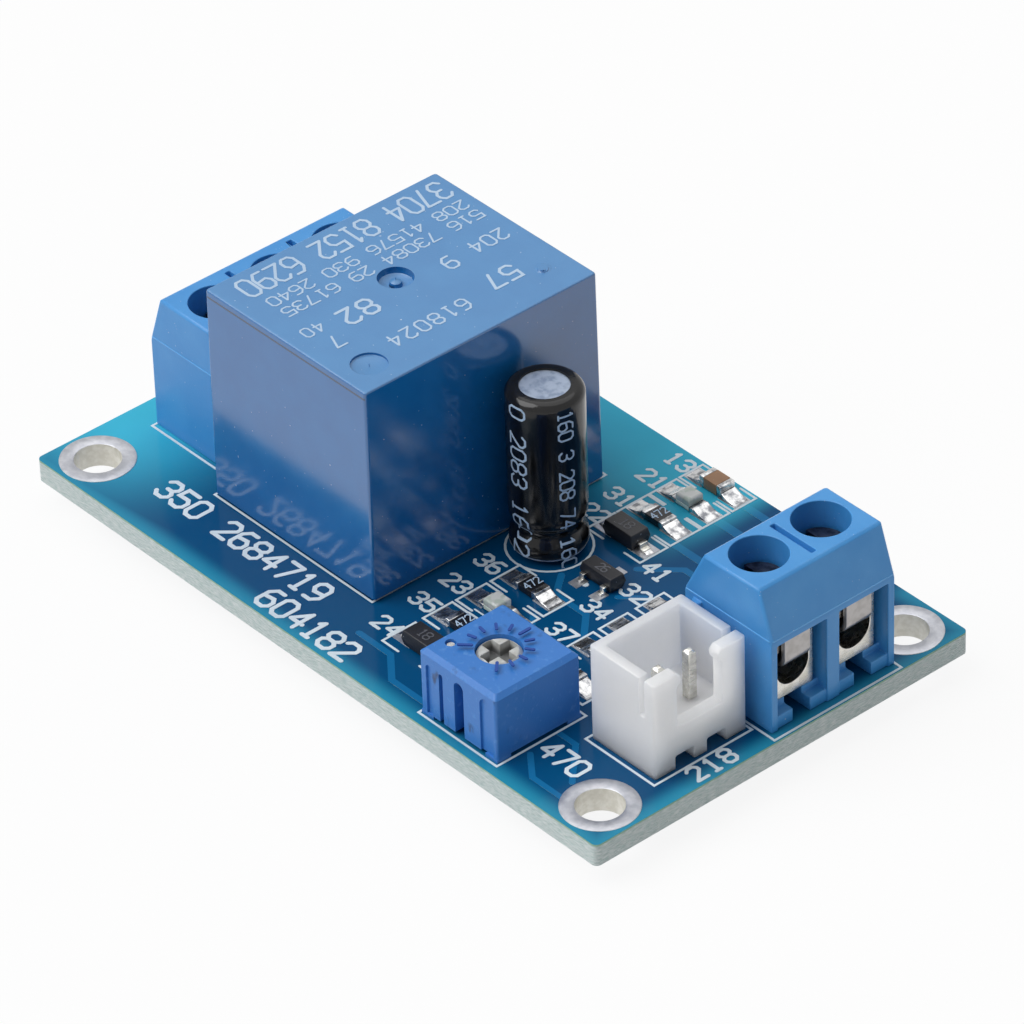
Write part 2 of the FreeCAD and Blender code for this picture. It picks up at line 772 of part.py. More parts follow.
def make_trimmer_rotor():
    """The rotor: a disc that turns in the housing's round seat, with a cross slot for the driver."""
    centre_x = trimmer_left + trimmer_size_x / 2
    centre_y = trimmer_near + trimmer_size_y / 2
    low = trimmer_height - trimmer_seat_depth + rotor_running_gap
    high = low + rotor_height
    rotor = cylinder(centre_x, centre_y, trimmer_seat_radius - rotor_running_gap, low, high)
    rotor = rotor.makeChamfer(rotor_edge, edges_at_height(rotor, high))
    arms = [
        centred_box(centre_x, centre_y, 2 * rotor_cross_reach, rotor_cross_width, high - rotor_cross_depth, high),
        centred_box(centre_x, centre_y, rotor_cross_width, 2 * rotor_cross_reach, high - rotor_cross_depth, high),
    ]
    return rotor.cut(arms)


def make_trimmer_leads():
    solids = []
    for number, lead in enumerate(trimmer_leads):
        top = trimmer_height - trimmer_pip_depth / 2 if number == 0 else trimmer_standoff
        solids.append(lead_solid(lead, -board_thickness - short_lead_reach, top))
    return solids


# The capacitor, as solids of revolution about its axis

def capacitor_outline(radius, grow_top):
    """Half outline of the can from its foot up over the crimp to the shoulder."""
    low = capacitor_lift
    high = capacitor_lift + capacitor_height - sleeve_overlap_thickness + grow_top
    crimp = low + crimp_height
    pinch = radius - crimp_depth

    def spot(r, z):
        return FreeCAD.Vector(r, 0, z)

    corners = [
        spot(radius, low),
        spot(radius, crimp - crimp_half_width),
        spot(pinch, crimp),
        spot(radius, crimp + crimp_half_width),
        spot(radius, high - capacitor_shoulder),
        spot(radius - capacitor_shoulder, high),
    ]
    edges = [Part.makeLine(start, end) for start, end in zip(corners, corners[1:])]
    return edges, low, high


def revolve_on_board(edges, x, y):
    solid = Part.Face(Part.Wire(edges)).revolve(FreeCAD.Vector(0, 0, 0), UP, 360)
    solid.translate(point(x, y, 0))
    return solid


def make_capacitor_can():
    edges, low, high = capacitor_outline(capacitor_can_radius, 0.0)
    top_corner = FreeCAD.Vector(capacitor_can_radius - capacitor_shoulder, 0, high)
    axis_top = FreeCAD.Vector(0, 0, high)
    axis_low = FreeCAD.Vector(0, 0, low)
    foot = FreeCAD.Vector(capacitor_can_radius, 0, low)
    closing = [Part.makeLine(top_corner, axis_top), Part.makeLine(axis_top, axis_low), Part.makeLine(axis_low, foot)]
    can = revolve_on_board(edges + closing, capacitor_x, capacitor_y)
    return can.cut(cylinder(capacitor_x, capacitor_y, capacitor_bung_radius, low, low + capacitor_bung_height))


def make_capacitor_sleeve():
    outer_radius = capacitor_can_radius + sleeve_thickness
    outer, low, high = capacitor_outline(outer_radius, sleeve_overlap_thickness)
    inner, inner_low, inner_high = capacitor_outline(capacitor_can_radius, 0.0)
    outer_corner = FreeCAD.Vector(outer_radius - capacitor_shoulder, 0, high)
    inner_corner = FreeCAD.Vector(capacitor_can_radius - capacitor_shoulder, 0, inner_high)
    rim_top = FreeCAD.Vector(sleeve_opening_radius, 0, high)
    rim_low = FreeCAD.Vector(sleeve_opening_radius, 0, inner_high)
    closing = [
        Part.makeLine(outer_corner, rim_top),
        Part.makeLine(rim_top, rim_low),
        Part.makeLine(rim_low, inner_corner),
        Part.makeLine(FreeCAD.Vector(capacitor_can_radius, 0, inner_low), FreeCAD.Vector(outer_radius, 0, low)),
    ]
    ordered = Part.__sortEdges__(outer + inner + closing)
    return revolve_on_board(ordered, capacitor_x, capacitor_y)


def make_capacitor_bung():
    return cylinder(capacitor_x, capacitor_y, capacitor_bung_radius, capacitor_lift,
                    capacitor_lift + capacitor_bung_height)


def make_capacitor_leads():
    return [lead_solid(lead, -board_thickness - short_lead_reach, capacitor_lift) for lead in capacitor_leads]


# Surface parts: two pads under each chip, solder up both ends, then the chip itself

first_column_rows = first_column_resistors + led_rows + diode_rows + (ceramic_row,)
chip_places = [(first_column_x, row) for row in first_column_rows]
chip_places += [(second_column_x, row) for row in second_column_resistors]
resistor_places = [(first_column_x, row) for row in first_column_resistors]
resistor_places += [(second_column_x, row) for row in second_column_resistors]

transistor_lead_places = [
    (transistor_x - transistor_lead_pitch, -1),
    (transistor_x + transistor_lead_pitch, -1),
    (transistor_x, 1),
]


def make_pads():
    pads = []
    for x, y in chip_places:
        for side in (-1, 1):
            pads.append(centred_box(x + side * pad_spacing / 2, y, pad_length, pad_width, 0, copper_height))
    for x, side in transistor_lead_places:
        pad_y = transistor_y + side * (transistor_width / 2 + transistor_lead_reach)
        pads.append(centred_box(x, pad_y, transistor_pad_width, transistor_pad_length, 0, copper_height))
    return pads


def make_fillet(x, y, side, inner_reach, width, height):
    """A hollow-faced solder fillet on one pad, rising against the chip's end."""
    pad_outer = pad_spacing / 2 + pad_length / 2
    run = pad_outer - inner_reach
    low = copper_height
    def spot(reach, z):
        return point(x + side * reach, y - width / 2, z)

    outline = [
        spot(inner_reach, low),
        spot(pad_outer, low),
        spot(inner_reach + run * solder_hollow_reach, low + height * solder_hollow_level),
        spot(inner_reach, low + height),
    ]
    return prism(outline, FreeCAD.Vector(0, width, 0))


def make_fillets():
    fillets = []
    diode_outer = diode_length / 2 + diode_lead_reach
    for x, y in chip_places:
        is_diode = x == first_column_x and y in diode_rows
        inner_reach = diode_outer if is_diode else chip_length / 2
        width = diode_lead_width if is_diode else chip_width
        height = diode_lead_thickness if is_diode else solder_fillet_height
        for side in (-1, 1):
            fillets.append(make_fillet(x, y, side, inner_reach, width, height))
    return fillets


def make_chip_body(x, y, height):
    low = copper_height + chip_seat
    return centred_box(x, y, chip_length - 2 * chip_end, chip_width, low, low + height)


def make_chip_ends(x, y, height):
    low = copper_height
    ends = []
    for side in (-1, 1):
        end_x = x + side * (chip_length - chip_end) / 2
        ends.append(centred_box(end_x, y, chip_end, chip_width, low, low + chip_seat + height))
    return ends


def make_led_lens(x, y):
    low = copper_height + chip_seat + led_base_height
    lens = centred_box(x, y, led_lens_length, chip_width, low, low + led_height - led_base_height)
    return lens.makeChamfer(led_lens_bevel, edges_at_height(lens, low + led_height - led_base_height))


def moulded_body(x, y, size_x, size_y, low, high, draft):
    """A moulded body, widest at its parting line half way up and drafted both ways."""
    middle = (low + high) / 2
    full = rectangle(x, y, size_x, size_y, middle)
    bottom = rectangle(x, y, size_x - 2 * draft, size_y - 2 * draft, low)
    top = rectangle(x, y, size_x - 2 * draft, size_y - 2 * draft, high)
    lower_half = Part.makeLoft([bottom, full], True, True)
    upper_half = Part.makeLoft([full, top], True, True)
    return lower_half.fuse(upper_half)


def rectangle(x, y, size_x, size_y, z):
    corners = [
        point(x - size_x / 2, y - size_y / 2, z),
        point(x + size_x / 2, y - size_y / 2, z),
        point(x + size_x / 2, y + size_y / 2, z),
        point(x - size_x / 2, y + size_y / 2, z),
    ]
    return Part.makePolygon(corners + corners[:1])


def make_gull_lead(x, y, direction, width, start, reach, thickness, exit_level):
    """A flat lead that leaves a moulded body, bends down and ends in a foot on its pad."""
    low = copper_height
    bend = start + thickness
    outline = [
        (start, exit_level),
        (start, exit_level - thickness),
        (bend, exit_level - thickness),
        (bend, low),
        (start + reach, low),
        (start + reach, low + thickness),
        (bend + thickness, low + thickness),
        (bend + thickness, exit_level),
    ]
    across = FreeCAD.Vector(-direction.y, direction.x, 0)
    corners = []
    for distance, z in outline:
        corners.append(point(x, y, z) + direction * distance - across * (width / 2))
    return prism(corners, across * width)


def make_diode_leads():
    leads = []
    exit_level = copper_height + diode_lead_exit
    for row in diode_rows:
        for side in (-1, 1):
            leads.append(make_gull_lead(first_column_x, row, FreeCAD.Vector(side, 0, 0), diode_lead_width,
                                        diode_length / 2, diode_lead_reach, diode_lead_thickness, exit_level))
    return leads


def make_transistor_leads():
    leads = []
    exit_level = copper_height + diode_lead_exit
    for x, side in transistor_lead_places:
        leads.append(make_gull_lead(x, transistor_y, FreeCAD.Vector(0, side, 0), transistor_lead_width,
                                    transistor_width / 2, transistor_lead_reach, diode_lead_thickness,
                                    exit_level))
    return leads


def main():
    os.makedirs("parts", exist_ok=True)
    save("circuit_board", make_board())
    save("mounting_hole_rings", make_hole_rings())
    save("underside_solder", [make_solder_joint(lead) for lead in all_leads])

    save("relay_cover", make_relay_cover())
    save("relay_base", make_relay_base())
    save("relay_pins", make_relay_pins())

    save_terminal("two_way", two_way_poles, two_way_front, two_way_near + two_way_length, 180)
    save_terminal("three_way", three_way_poles, three_way_front, three_way_near, 0)

    save("header_housing", make_header_housing())
    save("header_pins", make_header_pins())

    save("trimmer_housing", make_trimmer_housing())
    save("trimmer_rotor", make_trimmer_rotor())
    save("trimmer_leads", make_trimmer_leads())

    save("capacitor_can", make_capacitor_can())
    save("capacitor_sleeve", make_capacitor_sleeve())
    save("capacitor_bung", make_capacitor_bung())
    save("capacitor_leads", make_capacitor_leads())

    save("surface_pads", make_pads())
    save("surface_solder", make_fillets())
    save("resistor_bodies", [make_chip_body(x, y, chip_height) for x, y in resistor_places])
    resistor_ends = []
    for x, y in resistor_places:
        resistor_ends.extend(make_chip_ends(x, y, chip_height))
    save("resistor_ends", resistor_ends)
    save("led_bases", [make_chip_body(first_column_x, row, led_base_height) for row in led_rows])
    led_ends = []
    for row in led_rows:
        led_ends.extend(make_chip_ends(first_column_x, row, led_base_height))
    save("led_ends", led_ends)
    save("led_lenses", [make_led_lens(first_column_x, row) for row in led_rows])
    save("ceramic_body", make_chip_body(first_column_x, ceramic_row, ceramic_height))
    save("ceramic_ends", make_chip_ends(first_column_x, ceramic_row, ceramic_height))
    diode_low = copper_height + chip_seat
    save("diode_bodies", [moulded_body(first_column_x, row, diode_length, diode_width, diode_low,
                                       diode_low + diode_height, diode_draft) for row in diode_rows])
    save("diode_leads", make_diode_leads())
    save("transistor_body", moulded_body(transistor_x, transistor_y, transistor_length, transistor_width,
                                         diode_low, diode_low + transistor_height, diode_draft))
    save("transistor_leads", make_transistor_leads())


main()
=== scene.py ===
"""Light sensor module: finishes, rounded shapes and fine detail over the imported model.

Everything is in metres in the model's frame. Places on the board are given in millimetres
from its left and near edges, with the height above its top face.
"""
import bmesh
import bpy
import math
from mathutils import Matrix, Vector


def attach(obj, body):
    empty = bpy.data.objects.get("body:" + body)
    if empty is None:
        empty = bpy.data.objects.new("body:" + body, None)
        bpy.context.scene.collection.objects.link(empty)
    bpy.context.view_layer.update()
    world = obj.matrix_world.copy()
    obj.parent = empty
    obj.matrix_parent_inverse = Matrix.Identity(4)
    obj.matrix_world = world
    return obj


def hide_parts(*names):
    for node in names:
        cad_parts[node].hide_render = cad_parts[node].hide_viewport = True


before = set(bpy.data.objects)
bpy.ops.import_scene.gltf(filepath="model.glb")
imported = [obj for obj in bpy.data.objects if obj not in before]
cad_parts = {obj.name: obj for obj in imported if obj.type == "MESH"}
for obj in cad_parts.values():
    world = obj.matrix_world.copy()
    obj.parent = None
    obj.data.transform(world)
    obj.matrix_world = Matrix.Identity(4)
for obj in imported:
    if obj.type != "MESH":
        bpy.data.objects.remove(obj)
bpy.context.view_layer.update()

MM = 0.001
BOARD_LENGTH = 53.5
BOARD_WIDTH = 30.6
BOARD_TOP = 3.3
BOARD_THICKNESS = 1.6
HOLES_X = (2.75, 50.75)
HOLES_Y = (2.8, 27.8)
RELAY_LEFT = 10.92
RELAY_NEAR = 5.81
RELAY_X = 15.5
RELAY_Y = 19.0
RELAY_TOP = 15.85
CAPACITOR_X = 29.29
CAPACITOR_Y = 17.69
SLEEVE_RADIUS = 2.53
SLEEVE_TOP = 12.4
TRIMMER_CENTRE = (40.105, 4.28)
TRIMMER_DIAL_HEIGHT = 5.22
# Each terminal's left, right, near and far sides
TERMINALS = {"two_way": (45.05, 52.75, 14.9, 25.06), "three_way": (2.35, 10.05, 7.95, 23.19)}


def on_board(x, y, height=0.0):
    """A point of the board's top, in the frame."""
    return Vector((x - BOARD_LENGTH / 2, y - BOARD_WIDTH / 2, BOARD_TOP + height)) * MM


# ---------------------------------------------------------------- shader maths

def srgb(red, green, blue):
    """A colour as a shader takes it, from 0 to 255 levels."""
    def linear(level):
        level = level / 255
        return level / 12.92 if level <= 0.04045 else ((level + 0.055) / 1.055) ** 2.4
    return (linear(red), linear(green), linear(blue), 1.0)


class Signal:
    """What a node gives out. Arithmetic on a number adds Math nodes."""

    def __init__(self, shades, socket):
        self.shades = shades
        self.socket = socket

    def beside(self, output):
        """Another output of the same node."""
        return Signal(self.shades, self.socket.node.outputs[output])

    def maths(self, operation, first, second=0.0):
        return self.shades.node("ShaderNodeMath", {"operation": operation}, {0: first, 1: second})

    def __add__(self, other):
        return self.maths("ADD", self, other)

    def __sub__(self, other):
        return self.maths("SUBTRACT", self, other)

    def __rsub__(self, other):
        return self.maths("SUBTRACT", other, self)

    def __mul__(self, other):
        return self.maths("MULTIPLY", self, other)

    def __abs__(self):
        return self.maths("ABSOLUTE", self)

    def least(self, other):
        return self.maths("MINIMUM", self, other)

    def most(self, other):
        return self.maths("MAXIMUM", self, other)

    def ramp(self, low, high):
        """0 at low and 1 at high, with soft ends. low may be the larger one."""
        return self.shades.node("ShaderNodeMapRange", {"interpolation_type": "SMOOTHSTEP", "clamp": True},
                                {"Value": self, "From Min": low, "From Max": high})

    __radd__ = __add__
    __rmul__ = __mul__


class Shades:
    """The nodes of one material or world."""

    def __init__(self, owner):
        owner.use_nodes = True
        self.tree = owner.node_tree

    def node(self, kind, settings, sockets, output=0):
        """One node: its settings first, then its sockets' values or links."""
        made = self.tree.nodes.new(kind)
        for name, value in settings.items():
            setattr(made, name, value)
        for name, value in sockets.items():
            if isinstance(value, Signal):
                self.tree.links.new(value.socket, made.inputs[name])
            else:
                made.inputs[name].default_value = value
        return Signal(self, made.outputs[output])

    def axes(self, vector):
        across = self.node("ShaderNodeSeparateXYZ", {}, {0: vector})
        return across, across.beside(1), across.beside(2)

    def blend(self, factor, first, second):
        """The first colour at factor 0 and the second at 1."""
        return self.node("ShaderNodeMix", {"data_type": "RGBA"}, {0: factor, 6: first, 7: second}, 2)

    def show(self, shader, end):
        self.tree.links.new(shader.socket, self.tree.nodes[end].inputs["Surface"])


# ---------------------------------------------------------------- camera and light

def make_camera():
    """The photograph's view: a long lens, 37 degrees above the board."""
    stand = Vector((284.99396, -237.41030, 280.91625)) * MM
    target = Vector((1.42648, 0.36240, 6.3)) * MM
    roll = -0.03448975
    back = (stand - target).normalized()
    right = Vector((0, 0, 1)).cross(back).normalized()
    up = back.cross(right)
    right_rolled = math.cos(roll) * right + math.sin(roll) * up
    up_rolled = math.cos(roll) * up - math.sin(roll) * right
    data = bpy.data.cameras.new("view")
    data.sensor_fit = "HORIZONTAL"
    data.sensor_width = 36.0
    data.lens = 260.82
    data.clip_start = 0.01
    camera = bpy.data.objects.new("view", data)
    bpy.context.scene.collection.objects.link(camera)
    turn = Matrix((right_rolled, up_rolled, back)).transposed()
    camera.matrix_world = Matrix.Translation(stand) @ turn.to_4x4()
    bpy.context.scene.camera = camera


def looked_at(shades):
    """1 where the camera looks, and 1 where a gloss or glass looks."""
    camera = shades.node("ShaderNodeLightPath", {}, {}, "Is Camera Ray")
    return camera, camera.beside("Is Glossy Ray").most(camera.beside("Is Transmission Ray"))


def make_world():
    """Even light on the module, and white wherever the world is looked at."""
    world = bpy.data.worlds.new("studio")
    bpy.context.scene.world = world
    shades = Shades(world)
    shades.tree.nodes.remove(shades.tree.nodes["Background"])
    camera, mirrored = looked_at(shades)
    light = shades.node("ShaderNodeBackground", {}, {"Color": (1.0, 1.0, 1.0, 1.0), "Strength": 0.28})
    white = shades.node("ShaderNodeBackground", {}, {"Color": (0.8, 0.8, 0.8, 1.0), "Strength": 1.0})
    mixed = shades.node("ShaderNodeMixShader", {}, {0: camera.most(mirrored), 1: light, 2: white})
    shades.show(mixed, "World Output")


def make_lamps():
    """Two wide soft lamps: one from the near left, a weaker one from above the far side."""
    for name, direction, strength, spread in (
            ("key_lamp", (-0.42, -0.66, 1.0), 2.15, 50.0),
            ("top_lamp", (-0.25, 0.45, 1.6), 0.75, 60.0)):
        data = bpy.data.lights.new(name, "SUN")
        data.energy = strength
        data.angle = math.radians(spread)
        lamp = bpy.data.objects.new(name, data)
        lamp.rotation_euler = Vector(direction).to_track_quat("Z", "Y").to_euler()
        bpy.context.scene.collection.objects.link(lamp)


def make_floor():
    """A white floor under the lead tips that keeps the module's soft shadow."""
    mesh = bpy.data.meshes.new("floor")
    mesh.from_pydata([(-2, -2, 0), (2, -2, 0), (2, 2, 0), (-2, 2, 0)], [], [(0, 1, 2, 3)])
    floor = bpy.data.objects.new("floor", mesh)
    bpy.context.scene.collection.objects.link(floor)
    material = bpy.data.materials.new("floor_white")
    shades = Shades(material)
    shades.tree.nodes.remove(shades.tree.nodes["Principled BSDF"])
    camera, mirrored = looked_at(shades)
    lit = shades.node("ShaderNodeBsdfDiffuse", {}, {"Color": (0.8, 0.8, 0.8, 1.0)})
    white = shades.node("ShaderNodeEmission", {}, {"Strength": 1.0})
    share = (camera * 0.9).most(mirrored)
    shades.show(shades.node("ShaderNodeMixShader", {}, {0: share, 1: lit, 2: white}), "Material Output")
    mesh.materials.append(material)


# ---------------------------------------------------------------- finishes

class Finish(Shades):
    """A record slot's material: a Principled shader and what feeds it. Lengths in its maths are in mm."""

    def __init__(self, slot, colour, roughness=0.4, metallic=0.0, **constants):
        self.slot = slot
        self.material = bpy.data.materials.new(slot)
        super().__init__(self.material)
        self.shader = self.tree.nodes["Principled BSDF"]
        self.shader.inputs["Base Color"].default_value = colour
        self.shader.inputs["Roughness"].default_value = roughness
        self.shader.inputs["Metallic"].default_value = metallic
        for name, value in constants.items():
            self.shader.inputs[name.replace("_", " ")].default_value = value

    def place(self):
        """The surface point, in mm in the model's frame."""
        spot = self.node("ShaderNodeTexCoord", {}, {}, "Object")
        return self.node("ShaderNodeVectorMath", {"operation": "SCALE"}, {0: spot, "Scale": 1000.0})

    def facing(self):
        """The surface's own direction, before bumps."""
        return self.axes(self.node("ShaderNodeTexCoord", {}, {}, "Normal"))

    def stretched(self, x, y, z):
        return self.node("ShaderNodeVectorMath", {"operation": "MULTIPLY"}, {0: self.place(), 1: (x, y, z)})

    def cloud(self, scale, detail=3.0, vector=None):
        """Soft noise from 0 to 1, with scale bumps in a mm."""
        return self.node("ShaderNodeTexNoise", {}, {"Vector": vector or self.place(), "Scale": scale,
                                                    "Detail": detail})

    def feed(self, name, signal):
        self.tree.links.new(signal.socket, self.shader.inputs[name])

    def bump(self, height, strength, depth):
        """Relief of depth mm at height 1."""
        relief = self.node("ShaderNodeBump", {}, {"Height": height, "Strength": strength,
                                                  "Distance": depth * MM})
        self.feed("Normal", relief)


def plastic(slot, colour, worn, roughness, grain, grain_depth, **constants):
    """Moulded plastic: a slow change of colour, fine grain and a few specks of dust."""
    finish = Finish(slot, colour, roughness, **constants)
    tone = finish.cloud(0.35, 4.0).ramp(0.35, 0.7)
    tinted = finish.blend(tone * 0.5, colour, worn)
    dust = finish.cloud(5.5, 1.0).ramp(0.77, 0.80)
    finish.feed("Base Color", finish.blend(dust * 0.5, tinted, srgb(225, 230, 235)))
    finish.feed("Roughness", finish.cloud(1.2) * 0.14 + (roughness - 0.07))
    finish.bump(finish.cloud(grain), 0.4, grain_depth)
    return finish


def metal(slot, colour, dull, roughness, scratch, depth=0.01, metallic=1.0):
    """Plated metal: a mottled tone, and fine scratches that catch the light."""
    finish = Finish(slot, colour, roughness, metallic)
    mottle = finish.cloud(1.6, 5.0).ramp(0.4, 0.65)
    finish.feed("Base Color", finish.blend(mottle, colour, dull))
    streak = finish.cloud(scratch, 3.0, finish.stretched(1.0, 0.25, 1.0))
    finish.feed("Roughness", streak * 0.25 + (roughness - 0.1))
    finish.bump(streak, 0.35, depth)
    return finish


def make_solder_mask(slot, covered, backlit_bare):
    """Glossy blue-green lacquer over copper, paler at the rim and ends where bare laminate lies under it,
    with a painted glow there of light shining up through the board, and cut glass-fibre edges.
    """
    finish = Finish(slot, covered, 0.16, Specular_IOR_Level=0.13)
    x, y, z = finish.axes(finish.place())
    to_left, to_right = x + BOARD_LENGTH / 2, BOARD_LENGTH / 2 - x
    to_near, to_far = y + BOARD_WIDTH / 2, BOARD_WIDTH / 2 - y
    # Painted glow of light shining up through the board where no copper lies under the lacquer: pale teal
    # along the rim, except along part of the far edge left of the two-way terminal, and over the left and
    # far ends.
    by_terminal = to_left.ramp(30.0, 33.0).least(to_left.ramp(49.0, 46.0)).least(to_far.ramp(8.0, 6.0))
    rim = to_left.least(to_right).least(to_near).least(to_far).ramp(1.6, 0.1) * 0.5
    rim = rim * by_terminal.ramp(0.9, 0.1)
    left_end_glow = to_left.ramp(12.5, 2.0) * to_near.ramp(-4.0, 6.0)
    far_end_glow = to_far.ramp(11.0, 2.0) * to_left.ramp(36.4, 33.8)
    bare_and_backlit = rim.most(left_end_glow).most(far_end_glow) * (finish.cloud(0.15, 2.0) * 0.3 + 0.78)
    top = finish.blend(bare_and_backlit, covered, backlit_bare)
    fibre = finish.cloud(2.1, 5.0, finish.stretched(1.0, 1.0, 7.0)).ramp(0.25, 0.75)
    cut = finish.blend(fibre, srgb(178, 198, 196), srgb(226, 232, 232))
    lacquer_line = z.ramp(3.14, 3.22)
    cut = finish.blend(lacquer_line * 0.75, cut, srgb(130, 178, 140))
    sideways = abs(finish.facing()[2]).ramp(0.7, 0.4)
    finish.feed("Base Color", finish.blend(sideways, top, cut))
    finish.feed("Roughness", sideways * 0.6 + finish.cloud(2.0) * 0.06 + 0.12)
    finish.bump(fibre * sideways + finish.cloud(0.5, 1.0) * 0.04, 0.6, 0.12)
    return finish


def make_tinned_copper():
    """Flat tinned pads, brushed grey; the plated wall in the holes is painted paler and creamier, as light
    shining up through them.
    """
    finish = Finish("tinned_copper", srgb(190, 190, 199), 0.38, 1.0)
    sideways = abs(finish.facing()[2]).ramp(0.7, 0.4)
    mottle = finish.cloud(2.5, 5.0).ramp(0.3, 0.75)
    pad = finish.blend(mottle, srgb(174, 176, 183), srgb(194, 195, 200))
    # Painted light: the hole walls are paler and creamier and less metallic, as if lit from below.
    lit_wall = finish.blend(mottle, srgb(214, 211, 200), srgb(236, 234, 226))
    finish.feed("Base Color", finish.blend(sideways, pad, lit_wall))
    finish.feed("Metallic", 0.85 - sideways * 0.45)
    finish.feed("Roughness", mottle * 0.12 + 0.34)
    finish.bump(finish.cloud(6.0, 3.0), 0.35, 0.02)
    return finish


def make_relay_blue():
    """Satin on the moulded top, glossy on the sides; the top is painted lighter as the light from above
    falls on it, and a painted line of shade runs just under the near top edge.
    """
    finish = Finish("relay_blue", srgb(40, 100, 165), 0.3, Specular_IOR_Level=0.7, IOR=1.7)
    z = finish.axes(finish.place())[2]
    facing = finish.facing()
    level = facing[2].ramp(0.5, 0.9)
    tone = finish.cloud(0.4, 4.0).ramp(0.3, 0.7)
    side = finish.blend(tone * 0.6, srgb(16, 96, 160), srgb(26, 106, 170))
    # Painted light: the top's colour is lighter than the sides', as the light from above falls on it.
    top = finish.blend(tone * 0.5, srgb(50, 120, 177), srgb(62, 131, 186))
    colour = finish.blend(level, side, top)
    # Painted shade: a dark band on the near face just under the rounded top edge.
    edge_shade = z.ramp(18.55, 18.62) * z.ramp(18.78, 18.71) * facing[1].ramp(-0.6, -0.9)
    colour = finish.blend(edge_shade * 0.75, colour, srgb(8, 26, 52))
    dust = finish.cloud(5.0, 1.0).ramp(0.775, 0.80)
    finish.feed("Base Color", finish.blend(dust * 0.6, colour, srgb(215, 225, 235)))
    finish.feed("Roughness", level * 0.3 + finish.cloud(0.8) * 0.08 + 0.1)
    finish.bump(finish.cloud(9.0, 2.0) * level, 0.5, 0.015)
    return finish


def make_trimmer_blue():
    """Cobalt plastic with pale scuffs here and there, and dark patches that are strongest on the faces
    turned to the near side.
    """
    finish = Finish("trimmer_blue", srgb(42, 96, 168), 0.42)
    scuff = finish.cloud(2.4, 6.0).ramp(0.56, 0.74)
    dark_patches = finish.cloud(1.1, 5.0, finish.stretched(1.0, 1.0, 0.5)).ramp(0.62, 0.76)
    colour = finish.blend(scuff * 0.3, srgb(50, 116, 192), srgb(110, 162, 218))
    facing = finish.facing()
    # Dark noisy patches: strongest on faces turned to the near side, fainter on the top, none on faces
    # turned to the far side.
    colour = finish.blend(dark_patches * facing[1].ramp(0.3, -0.4) * 0.75, colour, srgb(22, 34, 60))
    finish.feed("Base Color", colour)
    finish.feed("Roughness", scuff * 0.2 + 0.38)
    finish.bump(scuff + finish.cloud(6.0) * 0.5, 0.4, 0.03)
    return finish


def make_rotor_white():
    """Grey-white rotor, with painted shade down in its cross slot."""
    finish = Finish("rotor_white", srgb(186, 188, 186), 0.5)
    height = finish.axes(finish.place())[2]
    # Painted shade: the colour darkens below the rotor's top, down in the cross slot.
    slot_shade = height.ramp(7.95, 7.5)
    tone = finish.cloud(2.0, 3.0).ramp(0.3, 0.7)
    colour = finish.blend(tone, srgb(190, 192, 190), srgb(168, 168, 164))
    finish.feed("Base Color", finish.blend(slot_shade * 0.8, colour, srgb(74, 76, 78)))
    finish.feed("Roughness", tone * 0.1 + 0.42)
    finish.bump(finish.cloud(4.0), 0.4, 0.03)
    return finish


def make_header_white():
    """Milky nylon that light soaks into."""
    finish = Finish("header_white", srgb(222, 226, 230), 0.34, Subsurface_Weight=0.9,
                    Subsurface_Radius=(1.0, 1.0, 1.0), Subsurface_Scale=0.008)
    haze = finish.cloud(0.5, 3.0).ramp(0.3, 0.7)
    finish.feed("Base Color", finish.blend(haze, srgb(247, 247, 249), srgb(252, 252, 253)))
    finish.feed("Roughness", finish.cloud(2.0) * 0.12 + 0.28)
    finish.bump(finish.cloud(1.2, 2.0), 0.3, 0.02)
    return finish


def make_sleeve_black():
    """Shrunk film, glossy and a little rippled."""
    finish = Finish("sleeve_black", srgb(12, 12, 13), 0.14, Specular_IOR_Level=0.4)
    ripple = finish.cloud(0.45, 4.0, finish.stretched(1.0, 1.0, 0.35))
    finish.feed("Base Color", finish.blend(ripple.ramp(0.4, 0.8), srgb(11, 11, 12), srgb(24, 23, 24)))
    finish.feed("Roughness", finish.cloud(2.2) * 0.1 + 0.1)
    finish.bump(ripple, 0.6, 0.12)
    return finish


def make_lens():
    """Clear resin over the diode's pale cell."""
    finish = Finish("led_lens", srgb(226, 232, 224), 0.12, Transmission_Weight=0.35, IOR=1.5)
    cell = finish.cloud(1.6, 3.0).ramp(0.45, 0.6)
    finish.feed("Base Color", finish.blend(cell, srgb(242, 244, 242), srgb(214, 226, 216)))
    finish.feed("Roughness", cell * 0.1 + 0.08)
    finish.bump(finish.cloud(2.5), 0.3, 0.03)
    return finish


